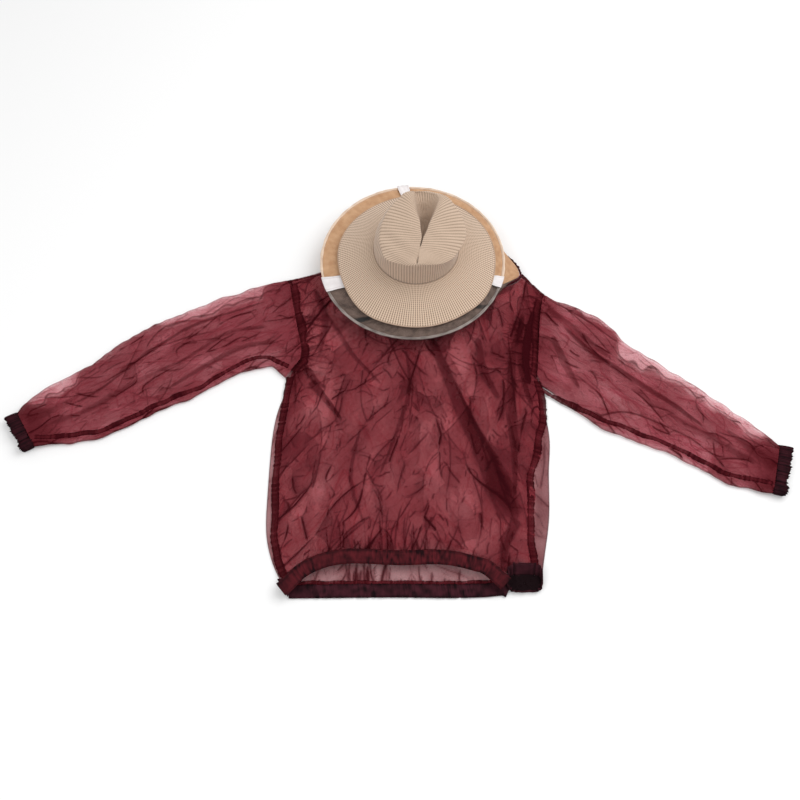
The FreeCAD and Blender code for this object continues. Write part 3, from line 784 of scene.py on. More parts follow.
# ------------------------------------------------------------ sleeves
# Flat folds of each sleeve, given as the body's.
SLEEVE_FOLDS = {
    "left": [([(-0.300, 0.215), (-0.374, 0.188), (-0.520, 0.119), (-0.681, -0.029), (-0.76, -0.075)],
              (0.002, 0.0035, 0.003, 0.002), 0.002, 1.3, 0.4),
             ([(-0.30, 0.14), (-0.40, 0.12), (-0.52, 0.03)], (0.004, 0.005, 0.002), 0.002, 1.0, 0.6),
             ([(-0.27, 0.10), (-0.36, 0.085), (-0.45, 0.03), (-0.53, -0.03)],
              (0.004, 0.006, 0.006, 0.002), 0.002, 1.2, 0.5),
             ([(-0.47, 0.06), (-0.6, -0.01), (-0.7, -0.08), (-0.79, -0.12)],
              (0.002, 0.007, 0.005), 0.002, 0.8, 0.7),
             ([(-0.72, -0.04), (-0.78, -0.08), (-0.84, -0.11)], (0.002, 0.009, 0.012), 0.002, 0.9, 0.8)],
    "right": [([(0.387, 0.149), (0.456, 0.067), (0.526, 0.014), (0.579, -0.031), (0.634, -0.073),
                (0.7, -0.13)],
               (0.003, 0.006, 0.006, 0.003), 0.002, 1.5, 0.35),
              ([(0.365, 0.12), (0.39, 0.04), (0.42, -0.03)], (0.005, 0.009, 0.003), 0.002, 1.4, 0.4),
              ([(0.36, 0.19), (0.43, 0.12), (0.5, 0.05)], (0.006, 0.008, 0.003), 0.002, 1.0, 0.6),
              ([(0.60, -0.08), (0.7, -0.15), (0.8, -0.22)], (0.003, 0.008, 0.006), 0.002, 0.9, 0.7),
              ([(0.74, -0.13), (0.80, -0.19), (0.84, -0.23)], (0.002, 0.010, 0.014), 0.002, 1.0, 0.8)],
}
SLEEVE_LEAN = {"left": 0.47, "right": -0.6}
SLEEVE_SEED = {"left": 100, "right": 200}
SLEEVE_LAYERS = {"left": 0.12, "right": -0.06}    # how much more the cloth hides than one layer
# Given as the body's, but with the seed counted from the sleeve's own.
SLEEVE_CREASES = [(40, 0.055, 0.26, 3 * MM, 2.7, 0.38, 1.5 * MM),
                  (50, 0.032, 0.13, 1.6 * MM, 2.4, 0.25, 1.3 * MM),
                  (60, 0.018, 0.06, 0.8 * MM, 1.0, 0.09, 1.1 * MM)]
# Along the top edge one layer lies past the other: start and end along the sleeve, depth across
# it, and how much thinner it looks.
SINGLE_LAYER = {"left": [(0.05, 0.48, 0.14, 0.52), (0.74, 0.98, 0.20, 0.6)],
                "right": [(0.06, 0.30, 0.06, 0.4), (0.30, 0.97, 0.20, 0.72)]}
# The lower edge of each sleeve, from the underarm on.
LOWER_EDGE = {"left": [(-0.257, 0.008), (-0.292, 0.038), (-0.329, 0.0325), (-0.364, 0.020)],
              "right": [(0.335, -0.014), (0.352, -0.028), (0.389, -0.061), (0.461, -0.121)]}
# The cuff's two corners, a point on the top edge and one on the lower edge, and a seed.
SLEEVE_CORNERS = {"left": ((-0.861, -0.086), (-0.810, -0.170), (-0.608, 0.130), (-0.604, -0.116), 401),
                  "right": ((0.856, -0.168), (0.824, -0.284), (0.593, 0.057), (0.633, -0.198), 411)}


def uneven(path, seed, depth=2.6 * MM):
    """The same path, wavy as crumpled cloth's edge is, but for its two ends."""
    line = evenly(path, int(length_of(path) / (4 * MM)))
    share = np.linspace(0, 1, len(line))
    x, y = line.T
    wave = ripple(x, y, seed, 100 * MM) + 0.4 * ripple(x, y, seed + 1, 40 * MM)
    return line + frame_along(line) * (depth * wave * ease(np.minimum(share, 1 - share) / 0.08))[:, None]


def sleeve_edges(side):
    """Plan curves of the sleeve: armhole, top edge, lower edge and cuff end."""
    loop = outline("sleeve_upper_" + side)
    far_top, far_under, high_via, low_via, seed = SLEEVE_CORNERS[side]
    top = np.vstack([SHOULDER[side], along(loop, SHOULDER[side], far_top, high_via)])
    under = np.vstack([LOWER_EDGE[side][:3], along(loop, LOWER_EDGE[side][3], far_under, low_via)])
    start = armhole(side)[::-1]
    start[-1] = under[0]
    return start, uneven(top, seed), uneven(under, seed + 5), np.array([top[-1], under[-1]])


def sleeve_layer(side, plan, u, v, edge, which):
    """Height and fold of one layer of a sleeve: the upper one is 0, the lower one 1."""
    seed = SLEEVE_SEED[side]
    cloth = Cloth(plan[..., 0], plan[..., 1])
    cloth.height += 2.0 * MM * cloth.ripple(seed + 3 + which, 0.16, (1.6, 1))
    cloth.fold += SLEEVE_LAYERS[side] + 0.18 * cloth.ripple(seed + 5 + which, 0.16)

    def lean(*_):
        return SLEEVE_LEAN[side]

    # The facets' tones here are painted light and shade, as in crumple.
    for step, *crumple in SLEEVE_CREASES:
        cloth.crumple(lean, seed + step + which, *crumple)
    cloth.scatter(lean, seed + 10 + which, 24, 0.28, (0.07, 0.26), 1.3 * MM, 1.6 * MM, 1.7)
    if which == 0:
        for path, *band in SLEEVE_FOLDS[side]:
            cloth.band(smooth_path(path, 20), *band)
    up = plan if side == "left" else plan[::-1]
    cloth.gathers(seed + 20 + which, up[:, -1][::12][::-1], 40, 0.07, 0.25, 1.6 * MM, 1.6 * MM, 1.5)
    cloth.gathers(seed + 22 + which, up[:, 0][::14], 22, 0.08, 0.4, 1.5 * MM, 1.4 * MM, 1.2)
    fold = cloth.fold + 0.95 * ease((u - 0.84) / 0.16) + 0.45 * ease((0.12 - u) / 0.12)
    wavy = 0.03 * cloth.ripple(seed + 30, 0.06)
    for start_u, end_u, depth, thinner in SINGLE_LAYER[side]:
        inside = ease((u - start_u) / 0.05) * ease((end_u - u) / 0.05)
        reach = depth * inside * (0.75 + 0.25 * np.sin(9 * u + seed)) + wavy * inside
        thin = ease((reach - v) / 0.012) * inside
        fold = fold * (1 - 0.5 * thin) - thinner * thin
        fold += 0.8 * np.exp(-((v - reach) / 0.010) ** 2) * inside * (which == 0)
    fold -= 0.30 * ease((v - 0.93) / 0.03)
    fold += 0.9 * np.exp(-(edge / (1.4 * MM)) ** 2) * (which == 0)
    return cloth.height, np.clip(fold, -0.72, 2.8)


def sleeve(side):
    """A flat tube: the upper layer, then the lower one back again."""
    start, top, under, end = sleeve_edges(side)
    cols, rows = int(length_of(top) / SLEEVE_STEP), int(length_of(start) / SLEEVE_STEP)
    plan = coons(evenly(top, cols), evenly(under, cols), evenly(start, rows), evenly(end, rows))
    u, v = np.meshgrid(np.linspace(0, 1, cols), np.linspace(0, 1, rows))
    edge = np.minimum(v, 1 - v) * np.linalg.norm(plan[-1] - plan[0], axis=1)[None, :]
    puff = np.sqrt(np.clip(1 - (1 - np.clip(edge / (30 * MM), 0, 1)) ** 2, 0, 1))
    middle = 5.5 * MM + 4.5 * MM * ease((u - 0.88) / 0.12)
    (high, fold_up), (low, fold_down) = (sleeve_layer(side, plan, u, v, edge, which) for which in (0, 1))
    up = middle + puff * (SLEEVE_PUFF + high * (0.3 + 0.7 * puff))
    down = middle - puff * (middle - FLOOR_GAP - 1.4 * MM) + puff * np.clip(low, -0.6 * MM, 3 * MM) * 0.5
    up = np.clip(up, FLOOR_GAP, 20.5 * MM + 6 * MM * (1 - ease(u / 0.08)))
    down = np.clip(down, FLOOR_GAP, 12 * MM)
    back = slice(-2, 0, -1)
    points = np.concatenate([np.dstack([plan, up]), np.dstack([plan, down])[back]])
    rest = points.copy()
    rest[len(plan):, :, 2] += SHEET_APART
    piece = grid_piece("organza_sleeve_" + side, points, np.concatenate([fold_up, fold_down[back]]), rest,
                       wrap_rows=True)
    return finish_piece(piece, SLEEVE_CLOTH[side], None, "organza",
                        ["sleeve_upper_" + side, "sleeve_lower_" + side, "sleeve_fold_" + side])


def bend_with_sleeve(piece):
    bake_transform(piece)


# ------------------------------------------------------------ strips and bands
def tree_of(piece):
    """Search tree for finding how high a piece lies at a place."""
    mesh = piece.data
    return BVHTree.FromPolygons([v.co for v in mesh.vertices], [p.vertices for p in mesh.polygons])


def laid_height(tree, x, y, default):
    hit = tree.ray_cast(Vector((x, y, 0.2)), Vector((0, 0, -1)))[0]
    return default if hit is None else hit.z


def frame_along(path):
    """Unit normals to the left of a plan path."""
    tangent = np.gradient(path, axis=0)
    tangent /= np.linalg.norm(tangent, axis=1)[:, None]
    return np.stack([-tangent[:, 1], tangent[:, 0]], 1)


def laid_strip(name, path, width, tree, seed, lift=0.7 * MM, ruffle=0.8 * MM, body="jacket", nodes=()):
    """Sewn strip lying on a layer: thicker at its two stitched edges, puckered between."""
    line = smooth_path(path, int(length_of(path) / (1.8 * MM)))
    normals = frame_along(line)
    x, y = line.T
    sway, pucker = ripple(x, y, seed + 5, 60 * MM), ripple(x, y, seed, 9 * MM)
    shares = np.linspace(-0.5, 0.5, 9)
    points = np.zeros((len(shares), len(line), 3))
    fold = np.zeros(points.shape[:2])
    for row, t in enumerate(shares):
        reach = t * width * (1 + 0.12 * pucker + 0.10 * sway) + 0.12 * width * np.roll(sway, 20)
        place = line + normals * reach[:, None]
        crown = 1 - (2 * t) ** 4
        points[row, :, :2] = place
        points[row, :, 2] = [laid_height(tree, *spot, 5 * MM) + lift * (0.4 + 0.6 * crown) for spot in place]
        points[row, :, 2] += ruffle * 0.5 * pucker * crown
        fold[row] = 1.9 + 0.9 * (abs(t) > 0.3) + 0.6 * pucker + 0.5 * sway
    smooth_z = points[..., 2].copy()
    for _ in range(4):
        smooth_z[:, 1:-1] = (smooth_z[:, :-2] + smooth_z[:, 1:-1] + smooth_z[:, 2:]) / 3
    points[..., 2] = np.maximum(points[..., 2], smooth_z)
    piece = grid_piece(name, points, np.clip(fold, 0.6, 3))
    return finish_piece(piece, SEAM_CLOTH, body, "seam_cloth", nodes)


def two_faces(rows, first=0.0):
    """Shares across a flat tube, out on one face and back on the other, and each row's face."""
    shares = np.concatenate([np.linspace(first, 1, rows), np.linspace(1, first, rows)[1:-1]])
    faces = np.concatenate([np.ones(rows), -np.ones(rows - 2)])
    faces[[0, rows - 1]] = 0
    return shares, faces


def casing_strip(name, node_name, material, seed, ruffle, lead=(), tail=()):
    """Gathered hem casing: a flat tube round its elastic, with an overlocked upper edge."""
    low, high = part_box(node_name)
    upper = np.vstack([*lead, evenly(casing_top(node_name), 14)[:-1], *tail])
    upper = smooth_path(upper, int(length_of(upper) / (1.6 * MM)))
    down = -frame_along(upper)
    shares, faces = two_faces(13, -0.08)
    points = np.zeros((len(shares), len(upper), 3))
    fold = np.zeros(points.shape[:2])
    x, y = upper.T
    bunch = 0.5 + 0.8 * ease(0.5 + ripple(x, y, seed + 2, 0.12))
    for row, (t, face) in enumerate(zip(shares, faces)):
        gather = ripple(x, y + 0.014 * t, seed, 15 * MM) + 0.7 * ripple(x, y + 0.008 * t, seed + 1, 6 * MM)
        gather = gather * bunch
        outside = max(abs(t - 0.5) - 0.25, 0) / 0.33
        points[row, :, :2] = upper + down * CASING_DEPTH * (t + 0.02 * gather[:, None] * outside)
        body = math.sqrt(max(1 - abs(2 * min(max(t, 0), 1) - 1) ** 4, 0.0))
        swell = face * CASING_THICK * (0.25 + 0.75 * body)
        points[row, :, 2] = 0.5 * (low.z + high.z) + swell + ruffle * gather * (0.35 + outside)
        fold[row] = 0.45 * gather + (0.5 if abs(t - 0.06) < 0.05 or abs(t - 0.94) < 0.04 else 0)
    points[..., 2] = np.clip(points[..., 2], 0.3 * MM, high.z + 3 * MM)
    piece = grid_piece(name, points, fold, wrap_rows=True)
    return finish_piece(piece, material, "jacket", "seam_cloth", [node_name])


def corner_flap(name, corners, low, high, material):
    """Turned corner of a casing: a small triangular fold of the same cloth, slightly swollen."""
    a, b, c = (np.array(p, float) for p in corners)
    shares = np.linspace(0, 1, 18)
    points = np.zeros((18, 18, 3))
    for i, s in enumerate(shares):
        for j, t in enumerate(shares):
            swell = (1 - (2 * t - 1) ** 4) * math.sin(math.pi * min(s, 0.98)) ** 0.5
            points[i, j] = (*(a * (1 - s) + (b * (1 - t) + c * t) * s), low + (high - low) * swell)
    piece = grid_piece(name, points, 0.4 * ripple(points[..., 0], points[..., 1], 77, 14 * MM))
    thicken(piece, 1.5 * MM)
    return finish_piece(piece, material, "jacket", "seam_cloth")


def squarish(angle, power):
    """Cosine and sine of an angle, bent towards a rounded rectangle's."""
    ways = np.cos(angle), np.sin(angle)
    return [np.sign(way) * np.abs(way) ** power for way in ways]


def inner_fold(name, centre, radii, level, material):
    """Crumpled casing cloth that closes the foot of the corner loop."""
    across, away = squarish(np.linspace(0, math.tau, 60, endpoint=False), 0.6)
    reach = np.linspace(0.02, 1, 12)[:, None]
    x = centre[0] + radii[0] * reach * across
    y = centre[1] + radii[1] * reach * away
    points = np.stack([x, y, level + 1.2 * MM * ripple(x, y, 79, 14 * MM)], -1)
    fold = 2.0 - 0.9 * reach + 0.3 * ripple(x, y, 78, 10 * MM)
    piece = grid_piece(name, points, fold, wrap_cols=True)
    return finish_piece(piece, material, "jacket", "seam_cloth")


def band_ring(name, plan, size, low, high, thickness, seed, wobble, gather_count):
    """Standing closed band of half width size, such as a collar or a loop.

    plan(angle, grow, t) gives its points from lower edge (t = 0) to upper; low and high are
    functions of y.
    """
    angle = np.linspace(0, math.tau, int(math.tau * size / (2 * MM)), endpoint=False)
    base = ripple(np.cos(angle) * size, np.sin(angle) * size, seed, math.tau * size / gather_count)
    shares, faces = two_faces(9)
    points = np.zeros((len(shares), len(angle), 3))
    for row, (t, face) in enumerate(zip(shares, faces)):
        points[row, :, :2] = plan(angle, face * thickness / 2 + wobble * base * (0.3 + t), t)
        py = points[row, :, 1]
        points[row, :, 2] = low(py) + (high(py) - low(py)) * t + 0.5 * wobble * np.roll(base, 5) * t
    fold = np.tile(0.5 * base, (len(shares), 1))
    return grid_piece(name, points, fold, wrap_rows=True, wrap_cols=True)


def loop_plan(angle, grow, t):
    """Plan of the slack loop at the hem's corner: squarish, its foot narrower and nearer the hem."""
    across, away = squarish(angle, 0.6)
    x = LOOP_X + (LOOP_A + grow + 1 * MM * t) * across
    y = LOOP_Y + 10 * MM * t + (LOOP_B + grow + 10 * MM * t) * away
    return np.stack([x, y], 1)


def cuff_ring(name, side, inset, start, width, thickness, seed, ruffle):
    """Gathered tube round the sleeve's end; a rounded rectangle in section."""
    a, b = sleeve_edges(side)[-1]
    across = (b - a) / np.linalg.norm(b - a)
    out = np.array([across[1], -across[0]]) * (1 if side == "left" else -1)
    low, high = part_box("cuff_casing_" + side)
    half_y, half_z = 0.5 * np.linalg.norm(b - a) - inset, 0.5 * (high.z - low.z) - inset
    long, tall = squarish(np.linspace(0, math.tau, 4000), 0.22)
    section = evenly(np.stack([long * half_y, tall * half_z], 1), 301)[:-1]
    angle = np.linspace(0, math.tau, 300, endpoint=False)
    around_x, around_y = 0.06 * np.cos(angle), 0.06 * np.sin(angle)
    gather = ripple(around_x, around_y, seed, 0.37 / CUFF_GATHERS)
    gather = gather + 0.6 * ripple(around_x, around_y, seed + 1, 0.16 / CUFF_GATHERS)
    slow = ripple(around_x, around_y, seed + 2, 0.05)
    shares, faces = two_faces(9)
    points = np.zeros((len(shares), len(angle), 3))
    for row, (t, face) in enumerate(zip(shares, faces)):
        edge = abs(2 * t - 1) ** 2
        grow = (face - 1) * thickness / 2 - ruffle * (0.5 + 0.5 * edge) * (1 - gather) * 0.5
        grow = grow + 0.6 * ruffle * np.maximum(slow, -0.25) * t
        reach = start + width * t + ruffle * (0.6 * gather + 0.9 * slow) * (t - 0.25)
        spot = np.outer(section[:, 0] * (1 + grow / half_y), across) + np.outer(reach, out)
        points[row, :, :2] = 0.5 * (a + b) + spot
        points[row, :, 2] = 0.5 * (low.z + high.z) + section[:, 1] * (1 + grow / half_z)
    points[..., 2] = np.clip(points[..., 2], 0.4 * MM, None)
    fold = np.tile(0.7 * gather, (len(shares), 1))
    return grid_piece(name, points, fold, wrap_rows=True, wrap_cols=True)


# ------------------------------------------------------------ veil
HOOP_LOW, HOOP_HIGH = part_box("hoop_wire")
HOOP = 0.5 * (HOOP_LOW + HOOP_HIGH)
HOOP_RADIUS = 0.5 * (HOOP_HIGH.x - HOOP_LOW.x) - 1.5 * MM
BRIM_LOW, BRIM_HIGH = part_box("hat_brim")
BRIM = 0.5 * (BRIM_LOW + BRIM_HIGH)
BRIM_RADIUS = 0.5 * (BRIM_HIGH.x - BRIM_LOW.x)
CROWN_LOW, CROWN_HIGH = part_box("hat_crown")
CROWN = 0.5 * (CROWN_LOW + CROWN_HIGH)
CROWN_RADIUS = 0.5 * (CROWN_HIGH.x - CROWN_LOW.x)
VEIL_PLEATS = [(232, 5), (322, -5)]     # where the net is doubled, degrees round the hoop, and its lean
VEIL_SPLIT = 0.236            # tan mesh behind this line across the hoop, black net before it
PLEATS = 6                    # turns of the spare netting under the hoop


def brim_reach(angle):
    """Radius of the brim, which droops outward at its two front corners and is drawn in at the left."""
    turn = np.degrees(angle) % 360
    swell = 6.0 * np.exp(-((turn - 234) / 17) ** 2) + 4.5 * np.exp(-((turn - 326) / 17) ** 2)
    return BRIM_RADIUS + (swell - 4.5 * np.exp(-((turn - 196) / 20) ** 2)) * MM


def half_turn(back):
    """Angles round the hoop that lie behind or before the split, past each end a little."""
    reach = math.asin((VEIL_SPLIT - HOOP.y) / HOOP_RADIUS)
    if back:
        return np.linspace(reach, math.pi - reach, 420)
    return np.linspace(math.pi - reach, math.tau + reach, 300)


def netting_rest(points, angle, height):
    """Where the netting's threads lie before it is sewn: straight along the hoop and up from it."""
    rest = points.copy()
    rest[..., 0] = angle[None, :] * HOOP_RADIUS
    rest[..., 1] = np.linspace(0, height, len(points))[:, None]
    return rest


def across_hoop(piece):
    """Bake a piece of the veil's placement into its mesh."""
    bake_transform(piece)


def circle_at(radius, centre, angle):
    """XY points on a circle."""
    return np.stack([centre[0] + radius * np.cos(angle), centre[1] + radius * np.sin(angle)], -1)


def veil_top(name, back, material, slot, node_name):
    """Netting from the hoop in under the brim, sagging a little between them."""
    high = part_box(node_name)[1].z
    angle = half_turn(back)
    outer = circle_at(HOOP_RADIUS - 3.0 * MM, HOOP, angle)
    inner = circle_at(brim_reach(angle) - 4 * MM, BRIM, angle)
    depth = np.linspace(0, 1, 26)
    points = np.zeros((len(depth), len(angle), 3))
    for row, t in enumerate(depth):
        plan = outer * (1 - t) + inner * t
        slack = ripple(*plan.T, 61, 60 * MM) + 0.5 * ripple(*plan.T, 62, 22 * MM)
        rise = (high - HOOP.z - 1.0 * MM) * t + 1.1 * MM * slack * 4 * t * (1 - t)
        points[row] = np.column_stack([plan, HOOP.z + 0.6 * MM + rise])
    fold = np.zeros(points.shape[:2])
    for centre, lean in VEIL_PLEATS:
        off = np.degrees(angle)[None, :] - centre - lean * depth[:, None]
        fold += 0.55 * np.exp(-(off / 2.4) ** 4)
    piece = grid_piece(name, points, fold, netting_rest(points, angle, 0.03))
    finish_piece(piece, material, None, slot, [node_name])
    across_hoop(piece)
    return piece


def veil_skirt(name, back, material, slot, node_name):
    """Netting from the collar up to the hoop; what is spare lies in pleats under the hoop."""
    angle = half_turn(back)
    neck = neckline(angle, -6 * MM)
    hoop = circle_at(HOOP_RADIUS - 4.5 * MM, HOOP, angle)
    tuck = circle_at(HOOP_RADIUS - 42 * MM, HOOP, angle)
    foot = collar_foot(neck[:, 1]) + 8 * MM
    bend, top = 49 * MM, HOOP.z - 2.5 * MM
    stops = [(neck, foot), (0.35 * neck + 0.65 * hoop, 0.5 * (foot + bend)), (hoop, bend)]
    stops += [(tuck if i % 2 else hoop, bend + (top - bend) * i / PLEATS) for i in range(1, PLEATS + 1)]
    rows = []
    for (a, za), (b, zb) in zip(stops, stops[1:]):
        for t in np.linspace(0, 1, 10, endpoint=False):
            plan = a * (1 - t) + b * t
            wave = 0.48 * MM * ripple(*plan.T, 71, 40 * MM) * math.sin(math.pi * t)
            rows.append(np.column_stack([plan, za * (1 - t) + zb * t + wave]))
    rows.append(np.column_stack([hoop, np.full(len(angle), top)]))
    points = np.array(rows)
    piece = grid_piece(name, points, np.zeros(points.shape[:2]), netting_rest(points, angle, 0.26))
    finish_piece(piece, material, None, slot, [node_name])
    across_hoop(piece)
    return piece


def hoop_edge(name, back, material):
    """Binding sewn round the wire, over one half of the hoop."""
    ring = 12
    angle = half_turn(back)
    wave = ripple(np.cos(angle) * 0.218, np.sin(angle) * 0.218, 81, 35 * MM)
    points = np.zeros((len(angle), ring, 3))
    fold = np.zeros((len(angle), ring))
    for k in range(ring):
        a = math.tau * k / ring
        points[:, k, :2] = circle_at(HOOP_RADIUS + (3.2 + 0.5 * wave) * MM * math.cos(a), HOOP, angle)
        points[:, k, 2] = HOOP.z + (2.6 + 0.3 * wave) * MM * math.sin(a)
        fold[:, k] = 0.7 if k in (3, 9) else 0.2 * math.cos(a)
    piece = grid_piece(name, points, fold, wrap_cols=True)
    return finish_piece(piece, material, "hoop", "binding_tape", ["hoop_binding"])


# Where the tapes cross the veil, degrees round the hoop, and half their width.
TAPES = {"left": (199, 20 * MM), "right": (-17, 15 * MM), "back": (96, 13 * MM)}
TAPE_LIFT = 4.6 * MM          # how far a tape lies above the middle of the hoop's wire


def tape(side):
    """White tape folded over the veil's seam between brim edge and hoop."""
    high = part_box("veil_top_tan")[1].z
    centre = math.radians(TAPES[side][0])
    half = TAPES[side][1] / HOOP_RADIUS
    rows, cols = 15, 17
    points = np.zeros((rows, cols, 3))
    fold = np.zeros((rows, cols))
    fold[:, [2, 14]] = 0.9
    for col, a in enumerate(np.linspace(centre - half, centre + half, cols)):
        skew = 0.16 * math.sin(a - centre) / half
        outer = circle_at(HOOP_RADIUS + 5 * MM, HOOP, a + 0.03 * skew)
        inner = circle_at(brim_reach(a) - 5 * MM, BRIM, a + 0.02 * skew)
        for row, t in enumerate(np.linspace(0, 1, rows)):
            rise = (high - HOOP.z - 3 * MM) * t + 0.5 * MM * math.sin(9 * t + col)
            points[row, col] = (*(outer * (1 - t) + inner * t), HOOP.z + TAPE_LIFT + rise)
    piece = grid_piece("binding_" + side, points, fold)
    thicken(piece, 0.7 * MM)
    finish_piece(piece, TAPE_CLOTH, None, "binding_tape", ["tape_" + side])
    across_hoop(piece)


# ------------------------------------------------------------ hat
def stitch(u, v):
    """Knit relief: ribs along v, courses along it; returns height and gap depth."""
    rib = np.abs(np.cos(math.pi * u))
    course = 0.5 + 0.5 * np.cos(math.tau * (v + 0.25 * np.abs((u % 1) - 0.5)))
    gap = np.clip(1.1 - 1.3 * rib, 0, 1) * 0.75 + 0.3 * (1 - course) * (1 - rib)
    return rib ** 0.8 + 0.35 * course * rib, gap


def brim():
    """Knitted brim, from the foot of the crown out, and the binding round its edge."""
    cols, rows, ring = BRIM_RIBS * 4, 60, 10
    angle = np.linspace(0, math.tau, cols, endpoint=False)
    inner = circle_at(CROWN_RADIUS - 1 * MM, CROWN, angle)
    outer = circle_at(brim_reach(angle) + 0.5 * MM, BRIM, angle)
    points = np.zeros((rows, cols, 3))
    fold = np.zeros((rows, cols))
    for row, t in enumerate(np.linspace(0, 1, rows)):
        course = t * BRIM_DEPTH / COURSE
        height, gap = stitch(angle / math.tau * BRIM_RIBS, np.full(cols, course))
        sag = 3.0 * MM * math.sin(math.pi * t)
        sag += 1.6 * MM * t * np.sin(2 * angle + 0.7) + 1.1 * MM * t * np.sin(5 * angle)
        slope = (BRIM_LOW.z + 2.6 * MM - BRIM_HIGH.z) * t
        points[row, :, :2] = inner * (1 - t) + outer * t
        points[row, :, 2] = BRIM_HIGH.z + slope + sag + 0.8 * MM * (height - 1)
        gap = gap * (0.40 + 1.3 * (0.5 - 0.5 * math.cos(math.tau * course)))
        # A thin ring of painted shade where the brim meets the foot of the crown's wall.
        fold[row] = gap + (0.25 if t < 0.03 else 0)
    piece = grid_piece("hat_brim_knit", points, fold, wrap_cols=True)
    thicken(piece, 2.0 * MM, -1 if piece.data.polygons[0].normal.z > 0 else 1)
    finish_piece(piece, HAT_KNIT, "hat", "knit", ["hat_brim"])
    rim, turn = points[-1][::4], angle[::4]
    hem = np.zeros((len(rim), ring, 3))
    for k in range(ring):
        out, up = 1.6 * MM * math.cos(math.tau * k / ring), 1.6 * MM * math.sin(math.tau * k / ring)
        hem[:, k] = rim + np.column_stack([circle_at(out, (0, 0), turn), np.full(len(rim), up - 1.0 * MM)])
    binding = grid_piece("brim_edge_binding", hem, np.full(hem.shape[:2], 0.2), wrap_rows=True,
                         wrap_cols=True)
    finish_piece(binding, BRIM_EDGE, "hat", "wire", ["brim_wire"])


# The pinched crown, by stations round it from the front.  Each gives the rim between wall and
# top, the edge of the pinch, and the foot of the pinch, in millimetres.
CROWN_STATIONS = [
    ((46, 199, 184), (46, 204, 185), (47, 209, 178)),
    ((80, 204, 179), (48, 214, 187), (48, 220, 174)),
    ((112, 214, 173), (50, 226, 189), (49, 231, 171)),
    ((138, 236, 174), (53, 243, 191), (52, 245, 167)),
    ((159, 280, 186), (62, 272, 195), (58, 272, 163)),
    ((151, 326, 200), (75, 305, 200), (64, 300, 160)),
    ((123, 370, 207), (90, 342, 205), (72, 326, 157)),
    ((104, 388, 203), (96, 370, 205), (76, 340, 158)),
    ((74, 396, 198), (80, 388, 199), (71, 346, 158)),
    ((46, 395, 203), (46, 388, 201), (62, 344, 159)),
    ((27, 388, 211), (41, 360, 208), (58, 330, 157)),
    ((-6, 362, 205), (48, 330, 204), (57, 314, 159)),
    ((-31, 322, 191), (56, 294, 198), (57, 288, 162)),
    ((-39, 276, 177), (57, 266, 194), (55, 264, 165)),
    ((-27, 231, 170), (52, 241, 190), (51, 243, 168)),
    ((8, 207, 177), (49, 220, 187), (48, 222, 173)),
]
# Wall, top, pinch and its floor: rows, bulge in millimetres, and how late each leans inward.
CROWN_ROWS = ((36, 0.0, 2.4), (60, 4.0, 1.0), (20, 0.0, 1.0), (6, 0.0, 1.0))
PINCH_LINE = ((0.205, 0.262, 0.306, 0.345), (0.047, 0.056, 0.062, 0.068))     # Y and X of the pinch's middle


def around(points, count):
    """Closed smooth curve through the stations."""
    p = np.asarray(points, float)
    at = np.linspace(0, len(p), count, endpoint=False)
    i = at.astype(int)
    return catmull_rom(*(p[(i + k) % len(p)] for k in (-1, 0, 1, 2)), (at - i)[:, None])


def crown():
    """Knitted crown with its teardrop pinch."""
    cols = CROWN_RIBS * 4
    rim, edge, foot = (around([station[k] for station in CROWN_STATIONS], cols) * MM for k in range(3))
    angle = np.unwrap(np.arctan2(rim[:, 1] - CROWN.y, rim[:, 0] - CROWN.x))
    base = np.column_stack([circle_at(CROWN_RADIUS - 0.5 * MM, CROWN, angle), np.full(cols, CROWN_LOW.z)])
    closed = foot.copy()
    closed[:, 0] = np.interp(foot[:, 1], *PINCH_LINE)
    surface, travelled = [], []
    reach = np.zeros(cols)
    for (rows, bulge, late), a, b in zip(CROWN_ROWS, (base, rim, edge, foot), (rim, edge, foot, closed)):
        span = np.linalg.norm(b - a, axis=1)
        for t in np.linspace(0, 1, rows, endpoint=False):
            point = a + (b - a) * (t ** late, t ** late, t)
            point[:, 2] += bulge * MM * math.sin(math.pi * t)
            surface.append(point)
            travelled.append(reach + t * span)
        reach = reach + span
    points, travelled = np.array([*surface, closed]), np.array([*travelled, reach])
    for _ in range(3):
        points[1:-1] = 0.25 * points[:-2] + 0.5 * points[1:-1] + 0.25 * points[2:]
    side = 0.5 * (np.roll(points, -1, 1) - np.roll(points, 1, 1))
    normal = np.cross(side, np.gradient(points, axis=0))
    normal /= np.maximum(np.linalg.norm(normal, axis=2), 1e-12)[..., None]
    height, gap = stitch(np.arange(cols)[None, :] / cols * CROWN_RIBS, travelled / COURSE)
    crowd = np.clip(np.linalg.norm(side, axis=2) * cols / CROWN_RIBS / (4 * MM), 0, 1)
    broad = 1.4 * MM * ripple(points[..., 0], points[..., 1] + points[..., 2], 91, 60 * MM)
    lift = 0.75 * MM * (height - 1) * crowd + broad * ease(travelled / 0.05)
    pinch = ease((np.arange(len(points)) - CROWN_ROWS[0][0] - CROWN_ROWS[1][0] - 2) / 20)[:, None]
    # The knit's gaps get painted shade, and pinch adds painted shade down into the pinch's hollow.
    fold = gap * (0.18 + 0.34 * crowd) + 0.2 * pinch + 0.17
    piece = grid_piece("hat_crown_knit", points + normal * lift[..., None], fold, wrap_cols=True)
    thicken(piece, 1.2 * MM)
    finish_piece(piece, HAT_KNIT, "hat", "knit", ["hat_crown"])


# ------------------------------------------------------------ assembly
# How far inward the strip on each armhole lies, and its width.
ARMHOLE_STRIP = {"left": (6 * MM, 25 * MM), "right": (-6 * MM, 19 * MM)}


def keep_node(name, material):
    """A CAD node whose shape is right, with its real material."""
    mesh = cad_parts[name].data
    store(mesh, "rest", node_points(name))
    mesh.materials.clear()
    mesh.materials.append(material)


